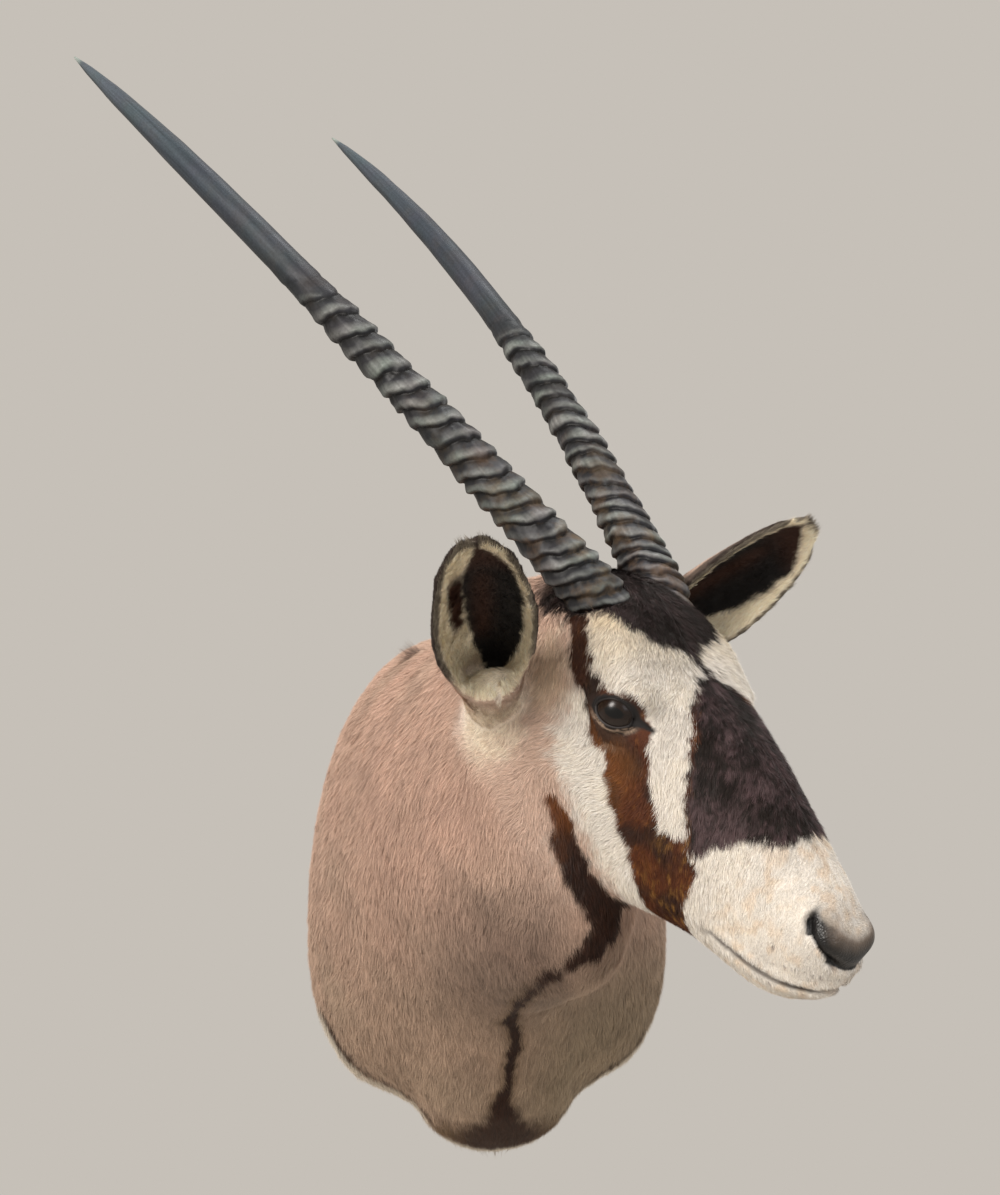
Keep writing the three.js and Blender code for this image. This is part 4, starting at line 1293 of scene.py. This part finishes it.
# %% The whole coat
COAT_PARTS = (pale_face, dark_bands, eye_surround, throat_line, brisket, mane, face_flow,
              ear_foot, ears, nose)
SKIN_SHADE = 0.92                         # the skin is a little darker than the hair that covers it


def coat_at(points, normals, scatter):
    """The hair at points on the skin: colour, length, flow and lift, and how bare the skin is."""
    at = place_facts(points, normals, scatter)
    hair = neck_coat(at)
    for part in COAT_PARTS:
        part(at, hair)
    along_skin = hair.flow - normals * np.sum(hair.flow * normals, axis=1, keepdims=True)
    hair.flow = unit(along_skin)
    return hair


skin_coat = coat_at(points_of(skin), normals_of(skin), 0)
set_colours(skin, "coat", skin_coat.colour * SKIN_SHADE)
set_values(skin, "bare", skin_coat.bare)
print("skin painted at", len(skin_coat.bare), "points")


# %% [markdown]
# The tanned skin under the hair is matt. Where it is bare, on the nose and the lids, it is painted
# and sealed, so it shines softly and has a fine pebbled grain, like the nose of a living animal.


# %% Skin finish
def skin_finish():
    material, shader = finish_of("tanned skin")
    coat = add_node(material, "ShaderNodeAttribute", {"attribute_name": "coat"})
    bare = add_node(material, "ShaderNodeAttribute", {"attribute_name": "bare"}).outputs["Fac"]
    place = add_node(material, "ShaderNodeTexCoord").outputs["Object"]
    pebbles = add_node(material, "ShaderNodeTexVoronoi", {"Scale": 620}, {"Vector": place})
    hairy = add_node(material, "ShaderNodeTexNoise", {"Scale": 900, "Detail": 2}, {"Vector": place})
    shade = add_node(material, "ShaderNodeMapRange",
                     {"From Min": 0.3, "From Max": 0.7, "To Min": 0.75, "To Max": 1.1},
                     {"Value": hairy.outputs["Fac"]})
    shaded = add_node(material, "ShaderNodeMix",
                      {"data_type": "RGBA", "blend_type": "MULTIPLY", "Factor": 1.0},
                      {6: coat.outputs["Color"], 7: shade.outputs["Result"]})
    feed(material, shaded.outputs[2], shader.inputs["Base Color"])
    rough = add_node(material, "ShaderNodeMapRange", {"To Min": 0.85, "To Max": 0.42},
                     {"Value": bare})
    feed(material, rough.outputs["Result"], shader.inputs["Roughness"])
    grain = add_node(material, "ShaderNodeMath", {"operation": "MULTIPLY"},
                     {0: pebbles.outputs["Distance"], 1: bare})
    bump = add_node(material, "ShaderNodeBump", {"Strength": 0.5, "Distance": 0.0008},
                    {"Height": grain.outputs["Value"]})
    feed(material, bump.outputs["Normal"], shader.inputs["Normal"])
    return material


only(skin)
bpy.ops.object.shade_smooth()
dress(skin, skin_finish())
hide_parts("hide")

# %% [markdown]
# ### The hair itself
# Each hair is one slim triangle: wide at its root in the skin, and pointed at its tip. There are
# some hundred thousand of them in each piece, made as arrays, because Blender's own hair strands
# would be lost when the model leaves Blender. Roots are scattered evenly over the skin, each hair
# takes its colour from the coat, and neighbours lean together in small locks.

# %% Scatter the roots
HAIRS = {"coat_of_face_right": 150000, "coat_of_face_left": 120000, "coat_of_ears": 130000,
         "coat_of_neck_right": 190000, "coat_of_neck_left": 180000, "coat_of_throat": 170000}
FACE_REACH = 122                          # how far from the head's axis the face's hair goes
THROAT_REACH = 95                         # how far to each side the throat's hair goes
FACE_THICKNESS = 1.6                      # how much denser the face's hair is
EYE_CLEARANCE = 1.18                      # no hair grows on the lids' edge
BOARD_GAP = 2                             # between the board's edge and the skin's rim


def skin_triangles():
    skin.data.calc_loop_triangles()
    corners = np.empty(len(skin.data.loop_triangles) * 3, dtype=np.int32)
    skin.data.loop_triangles.foreach_get("vertices", corners)
    return corners.reshape(-1, 3)


TRIANGLES = skin_triangles()
NET_POINTS, NET_NORMALS = points_of(skin), normals_of(skin)


def inside_rim(wall):
    """True in the recess behind the skin's rim, where the board sits."""
    low, high = (np.array(corner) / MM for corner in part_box("back_board"))
    middle, half = (low + high) / 2, (high - low) / 2 + BOARD_GAP
    share = (wall - middle) / half
    return np.hypot(share[:, 0], share[:, 2]) < 1


def region_of(points):
    """Which piece of the coat a place belongs to, and how thick the hair stands there."""
    head = to_head(points)
    wall = points / MM
    ear, share = on_ear(head)[:2]
    ear = ear & (share > 0.06)
    off_axis = np.hypot(head[:, 1], head[:, 2] - FACE_AXIS_Z)
    face = (head[:, 0] > -45) & (head[:, 2] > -206) & (off_axis < FACE_REACH)
    right = head[:, 1] < 0
    front = (wall[:, 1] < -60) & (np.abs(wall[:, 0] - 25) < THROAT_REACH) & (wall[:, 2] < 20)
    names = np.where(wall[:, 0] < 8, "coat_of_neck_right", "coat_of_neck_left").astype("<U24")
    names[front] = "coat_of_throat"
    names[face & right] = "coat_of_face_right"
    names[face & ~right] = "coat_of_face_left"
    names[ear] = "coat_of_ears"
    thick = np.ones(len(points))
    thick[wall[:, 1] > -3] = 0            # none between the rim and the wall
    thick[(wall[:, 1] > -24) & inside_rim(wall)] = 0
    for side in (1, -1):
        away = head - EYE_CENTRE[side]
        distance = np.linalg.norm(away, axis=1)
        edge = lid_measure(away, side)[0]
        thick[(distance < 30) & (away @ eye_frame(side)[0] > 0) & (edge < EYE_CLEARANCE)] = 0
        t = -head[:, 0] / HORN_LENGTH
        centre = horn_centre(side, t)
        radius = np.interp(t, *HORN_TAPER.T) * HORN_RADIUS
        thick[(t > -0.03) & (np.linalg.norm((head - centre)[:, 1:], axis=1) < radius + 1)] = 0
    thick[face & (head[:, 0] > 20)] *= FACE_THICKNESS
    return names, thick


def roots():
    first, second, third = (NET_POINTS[TRIANGLES[:, k]] for k in range(3))
    areas = np.linalg.norm(np.cross(second - first, third - first), axis=1) / 2
    names, thick = region_of((first + second + third) / 3)
    wanted = areas * thick
    for name, hairs in HAIRS.items():
        chosen = np.flatnonzero(names == name)
        share = wanted[chosen] / wanted[chosen].sum()
        picks = chance.choice(chosen, hairs, p=share)
        picks.sort()
        yield name, picks


# %% Shape the hairs
LOCK_SIZE = 7                             # millimetres across a lock of hair that leans together
WAVE_SIZE = 45                            # and across the slow waves of the whole coat
WAVE_SWAY, LOCK_SWAY, OWN_SWAY = 0.5, 0.9, 0.13        # how far each turns a hair, in radians
OWN_RISE, OWN_ROLL = 0.06, 0.35
SHORTEST_HAIR = 0.6                       # millimetres
ROOT_DEPTH = 0.3                          # how deep in the skin a hair starts
WALL_GAP = 0.4                            # no hair comes nearer to the wall
HAIR_SHADES = 0.16                        # how much lighter or darker one hair is than the next
ROOT_SHADE, TIP_SHADE = 0.8, 1.12


def hair_shapes(picks):
    """Three corners and their colours for each hair that grows on the picked triangles."""
    weights = chance.dirichlet((1, 1, 1), len(picks))
    corners = TRIANGLES[picks]
    root = np.einsum("ij,ijk->ik", weights, NET_POINTS[corners])
    normal = unit(np.einsum("ij,ijk->ik", weights, NET_NORMALS[corners]))
    scatter = chance.uniform(-1, 1, len(picks)) * chance.uniform(0, 1, len(picks)) * 2
    hair = coat_at(root, normal, scatter)
    grows = (hair.bare < 0.4) & (hair.length > SHORTEST_HAIR)
    root, normal, colour, length, flow, lift = (
        part[grows] for part in (root, normal, hair.colour, hair.length, hair.flow, hair.lift))
    count, wall = len(root), root / MM
    wave, lock = lumps(wall, WAVE_SIZE, 21) - 0.5, lumps(wall, LOCK_SIZE, 22) - 0.5
    sway = WAVE_SWAY * wave + LOCK_SWAY * lock
    sway = (sway + chance.normal(0, OWN_SWAY, count))[:, None]
    rise = np.radians(lift) * (0.55 + 0.9 * lumps(wall, LOCK_SIZE, 23))
    rise = (rise + chance.normal(0, OWN_RISE, count))[:, None]
    heading = unit(flow * np.cos(sway) + np.cross(normal, flow) * np.sin(sway))
    heading = heading * np.cos(rise) + normal * np.sin(rise)
    reach = (length * chance.uniform(0.6, 1.15, count) * MM)[:, None]
    roll = chance.normal(0, OWN_ROLL, count)[:, None]
    across = unit(np.cross(normal, heading)) * np.cos(roll) + normal * np.sin(roll)
    half_width = ((0.14 + 0.014 * length) * chance.uniform(0.8, 1.2, count) * MM)[:, None]
    base = root - normal * ROOT_DEPTH * MM
    tips = root + heading * reach
    tips[:, 1] = np.minimum(tips[:, 1], -WALL_GAP * MM)
    points = np.stack([base - across * half_width, base + across * half_width, tips], axis=1)
    shade = np.exp(chance.normal(0, HAIR_SHADES, count))[:, None, None]
    along = np.array([ROOT_SHADE, ROOT_SHADE, TIP_SHADE])[None, :, None]
    return points, np.clip(colour[:, None, :] * shade * along, 0, 1)


def add_hair_map(mesh, count):
    """Gives every hair a small place of its own on a flat map, for colours kept in a picture."""
    side = math.ceil(math.sqrt(count))
    number = np.arange(count)
    corner = np.stack([number % side, number // side], axis=1)[:, None, :]
    inset = np.array([[0.1, 0.1], [0.9, 0.1], [0.5, 0.9]])[None]
    places = ((corner + inset) / side).astype(np.float32)
    mesh.uv_layers.new(name="OFBake").uv.foreach_set("vector", places.ravel())


def hair_piece(name, picks):
    points, colours = hair_shapes(picks)
    count = len(points)
    mesh = bpy.data.meshes.new(name)
    mesh.vertices.add(count * 3)
    mesh.loops.add(count * 3)
    mesh.polygons.add(count)
    mesh.vertices.foreach_set("co", points.astype(np.float32).ravel())
    mesh.loops.foreach_set("vertex_index", np.arange(count * 3, dtype=np.int32))
    mesh.polygons.foreach_set("loop_start", np.arange(0, count * 3, 3, dtype=np.int32))
    mesh.update(calc_edges=True)
    piece = bpy.data.objects.new(name, mesh)
    bpy.context.scene.collection.objects.link(piece)
    set_colours(piece, "hair", colours.reshape(-1, 3))
    add_hair_map(mesh, count)
    print(name, count, "hairs")
    return piece


# %% [markdown]
# Hair is keratin too: a satin surface with a soft shine, more matt than horn because it lies in
# every direction. Its colour is darker at the root, where hair shades hair.


# %% Hair finish
def hair_finish():
    material, shader = finish_of("short animal hair")
    hair = add_node(material, "ShaderNodeAttribute", {"attribute_name": "hair"})
    feed(material, hair.outputs["Color"], shader.inputs["Base Color"])
    shader.inputs["Roughness"].default_value = 0.6
    shader.inputs["Specular IOR Level"].default_value = 0.3
    return material


HAIR = hair_finish()
for name, picks in roots():
    dress(hair_piece(name, picks), HAIR)

# %% [markdown]
# ## The eyes
# Taxidermy eyes are glass shells painted from behind: a dark brown iris with a wide, level pupil,
# under a clear dome. The dome is what makes the animal look alive, because it holds the lamps'
# reflections. A rim of dark, slightly wet skin runs round each eye.


# %% Eye finish
def eye_finish(side):
    material, shader = finish_of("painted glass eye " + ("left" if side > 0 else "right"))
    off = add_node(material, "ShaderNodeAttribute", {"attribute_name": "off_pupil"}).outputs["Fac"]
    ring = add_node(material, "ShaderNodeAttribute", {"attribute_name": "off_iris"}).outputs["Fac"]
    place = add_node(material, "ShaderNodeTexCoord").outputs["Object"]
    flecks = add_node(material, "ShaderNodeTexNoise", {"Scale": 500, "Detail": 4},
                      {"Vector": place})
    iris = add_node(material, "ShaderNodeValToRGB", {"stops": ((0, "0f0806"), (0.7, "21140c"))},
                    {"Fac": flecks.outputs["Fac"]})
    pupil = add_node(material, "ShaderNodeMapRange", {"From Min": 0.9, "From Max": 1.1},
                     {"Value": off})
    seen = add_node(material, "ShaderNodeMix", {"data_type": "RGBA", 6: rgba("020202")},
                    {"Factor": pupil.outputs["Result"], 7: iris.outputs["Color"]})
    edge = add_node(material, "ShaderNodeMapRange", {"From Min": 0.88, "From Max": 1.05},
                    {"Value": ring})
    rimmed = add_node(material, "ShaderNodeMix", {"data_type": "RGBA", 7: rgba("0c0807")},
                      {"Factor": edge.outputs["Result"], 6: seen.outputs[2]})
    feed(material, rimmed.outputs[2], shader.inputs["Base Color"])
    shader.inputs["Roughness"].default_value = 0.4
    shader.inputs["Specular IOR Level"].default_value = 0.0
    shader.inputs["Coat Weight"].default_value = 0.7
    shader.inputs["Coat Roughness"].default_value = 0.26
    shader.inputs["Coat IOR"].default_value = 1.52
    return material


# %% Eyeballs and rims
PUPIL_HALF = (0.44, 0.24)                 # as shares of the eye's radius
PUPIL_DROP = 0.04
BEHIND = 9                                # a value well off the pupil, for the ball's rear half
IRIS_SIZE = 0.82
DOME_HEIGHT = 0.5
RIM_THICKNESS = 0.65


def eyeball(side, name):
    bpy.ops.object.select_all(action="DESELECT")
    bpy.ops.mesh.primitive_uv_sphere_add(segments=96, ring_count=64, radius=1)
    ball = bpy.context.object
    ball.name = name
    directions = unit(points_of(ball))
    looking, lengthwise, upwards = eye_frame(side)
    forwards = directions @ looking
    reach = EYE_RADIUS + DOME_HEIGHT * ramp(forwards, 0.75, 1.0)
    set_points(ball, from_head(EYE_CENTRE[side] + directions * reach[:, None]))
    across, above = directions @ lengthwise, directions @ upwards + PUPIL_DROP
    off_pupil = np.hypot(across / PUPIL_HALF[0], above / PUPIL_HALF[1])
    off_iris = np.hypot(across, above) / IRIS_SIZE
    set_values(ball, "off_pupil", np.where(forwards > 0, off_pupil, BEHIND))
    set_values(ball, "off_iris", np.where(forwards > 0, off_iris, BEHIND))
    bpy.ops.object.shade_smooth()
    return ball


def lid_rim(side, name, swell, thickness):
    """A thin roll of skin along the lids' edge."""
    bpy.ops.object.select_all(action="DESELECT")
    bpy.ops.mesh.primitive_torus_add(
        major_segments=120, minor_segments=12, major_radius=1, minor_radius=0.1)
    rim = bpy.context.object
    rim.name = name
    points = points_of(rim)
    angle = np.arctan2(points[:, 1], points[:, 0])
    offset = np.stack([np.hypot(points[:, 0], points[:, 1]) - 1, points[:, 2]], axis=1) * 10
    looking, lengthwise, upwards = eye_frame(side)
    pointed = np.abs(np.sin(angle)) ** 1.25 * np.sign(np.sin(angle))
    u = np.cos(angle) * LID_HALF_LENGTH / EYE_RADIUS * swell
    v = (pointed * LID_HALF_HEIGHT * swell - LID_DROP) / EYE_RADIUS
    w = np.sqrt(np.maximum(1 - u * u - v * v, 0.02))
    directions = unit(u[:, None] * lengthwise + v[:, None] * upwards + w[:, None] * looking)
    middle = unit(looking - LID_DROP / EYE_RADIUS * upwards)
    sideways = unit(directions - middle * np.sum(directions * middle, axis=1, keepdims=True))
    spot = EYE_CENTRE[side] + directions * (EYE_RADIUS + 0.6)
    spot = spot + directions * (offset[:, 1] * thickness)[:, None]
    spot += sideways * (offset[:, 0] * thickness)[:, None]
    set_points(rim, from_head(spot))
    clean_net(rim)
    bpy.ops.object.shade_smooth()
    return rim


def lid_finish():
    material, shader = finish_of("sealed dark eyelid skin")
    place = add_node(material, "ShaderNodeTexCoord").outputs["Object"]
    noise = add_node(material, "ShaderNodeTexNoise", {"Scale": 260, "Detail": 4}, {"Vector": place})
    tone = add_node(material, "ShaderNodeValToRGB", {"stops": ((0, "0d0a09"), (1, "2a2220"))},
                    {"Fac": noise.outputs["Fac"]})
    feed(material, tone.outputs["Color"], shader.inputs["Base Color"])
    bump = add_node(material, "ShaderNodeBump", {"Strength": 0.4, "Distance": 0.0005},
                    {"Height": noise.outputs["Fac"]})
    feed(material, bump.outputs["Normal"], shader.inputs["Normal"])
    shader.inputs["Roughness"].default_value = 0.55
    return material


LID_SKIN = lid_finish()
for side, word in ((1, "left"), (-1, "right")):
    ball = eyeball(side, "glass_eye_" + word)
    dress(ball, eye_finish(side))
    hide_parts("eye_" + word)
    dress(lid_rim(side, "eyelid_rim_" + word, 1.02, RIM_THICKNESS), LID_SKIN)
    print("eye", word, len(ball.data.polygons), "faces")

# %% [markdown]
# ## Behind the animal
# The board is plywood: its two faces are sanded birch veneer with long grain, and its edge shows
# the glued plies. The hanger plate and its screws are zinc plated steel, dull blue-grey with a
# faint spangle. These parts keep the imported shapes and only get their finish.


# %% Plywood, zinc and floor finishes
PLY_THICKNESS = 0.0014


def plywood_finish():
    material, shader = finish_of("sanded birch plywood")
    place = add_node(material, "ShaderNodeTexCoord").outputs["Object"]
    drawn = add_node(material, "ShaderNodeMapping", {"Scale": (60, 60, 5)}, {"Vector": place})
    grain = add_node(material, "ShaderNodeTexNoise", {"Scale": 3, "Detail": 6, "Distortion": 0.6},
                     {"Vector": drawn.outputs["Vector"]})
    veneer = add_node(material, "ShaderNodeValToRGB", {"stops": ((0.3, "b08755"), (0.7, "d9b98a"))},
                      {"Fac": grain.outputs["Fac"]})
    plies = add_node(material, "ShaderNodeSeparateXYZ", None, {"Vector": place})
    count = add_node(material, "ShaderNodeMath", {"operation": "DIVIDE", 1: PLY_THICKNESS * 2},
                     {0: plies.outputs["Y"]})
    within = add_node(material, "ShaderNodeMath", {"operation": "FRACT"},
                      {0: count.outputs["Value"]})
    glued = add_node(material, "ShaderNodeMath", {"operation": "GREATER_THAN", 1: 0.5},
                     {0: within.outputs["Value"]})
    layers = add_node(material, "ShaderNodeMix", {"data_type": "RGBA", "blend_type": "MULTIPLY",
                                                  7: rgba("b89f86")},
                      {"Factor": glued.outputs["Value"], 6: veneer.outputs["Color"]})
    facing = add_node(material, "ShaderNodeNewGeometry")
    parts = add_node(material, "ShaderNodeSeparateXYZ", None, {"Vector": facing.outputs["Normal"]})
    flat = add_node(material, "ShaderNodeMath", {"operation": "ABSOLUTE"}, {0: parts.outputs["Y"]})
    board = add_node(material, "ShaderNodeMix", {"data_type": "RGBA"},
                     {"Factor": flat.outputs["Value"], 6: layers.outputs[2],
                      7: veneer.outputs["Color"]})
    feed(material, board.outputs[2], shader.inputs["Base Color"])
    bump = add_node(material, "ShaderNodeBump", {"Strength": 0.2, "Distance": 0.0003},
                    {"Height": grain.outputs["Fac"]})
    feed(material, bump.outputs["Normal"], shader.inputs["Normal"])
    shader.inputs["Roughness"].default_value = 0.62
    return material


def zinc_finish():
    material, shader = finish_of("dull zinc plating on steel")
    place = add_node(material, "ShaderNodeTexCoord").outputs["Object"]
    spangle = add_node(material, "ShaderNodeTexVoronoi", {"Scale": 260}, {"Vector": place})
    tone = add_node(material, "ShaderNodeValToRGB", {"stops": ((0, "a9aeb4"), (1, "c6cacd"))},
                    {"Fac": spangle.outputs["Distance"]})
    feed(material, tone.outputs["Color"], shader.inputs["Base Color"])
    shader.inputs["Metallic"].default_value = 1.0
    shader.inputs["Roughness"].default_value = 0.38
    return material


def floor_finish():
    material, shader = finish_of("pale matt floor")
    place = add_node(material, "ShaderNodeTexCoord").outputs["Object"]
    cloud = add_node(material, "ShaderNodeTexNoise", {"Scale": 6, "Detail": 4}, {"Vector": place})
    tone = add_node(material, "ShaderNodeValToRGB", {"stops": ((0, "c2bcb4"), (1, "cac4bc"))},
                    {"Fac": cloud.outputs["Fac"]})
    feed(material, tone.outputs["Color"], shader.inputs["Base Color"])
    shader.inputs["Roughness"].default_value = 0.8
    return material


PLYWOOD, ZINC = plywood_finish(), zinc_finish()
for name, finish in (("back_board", PLYWOOD), ("hanger_plate", ZINC),
                     *((f"hanger_screw_{k}", ZINC) for k in (1, 2, 3, 4))):
    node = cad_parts[name]
    node.data.materials.clear()
    node.data.materials.append(finish)
floor.data.materials.append(floor_finish())
print("board, plate, screws and floor are dressed")
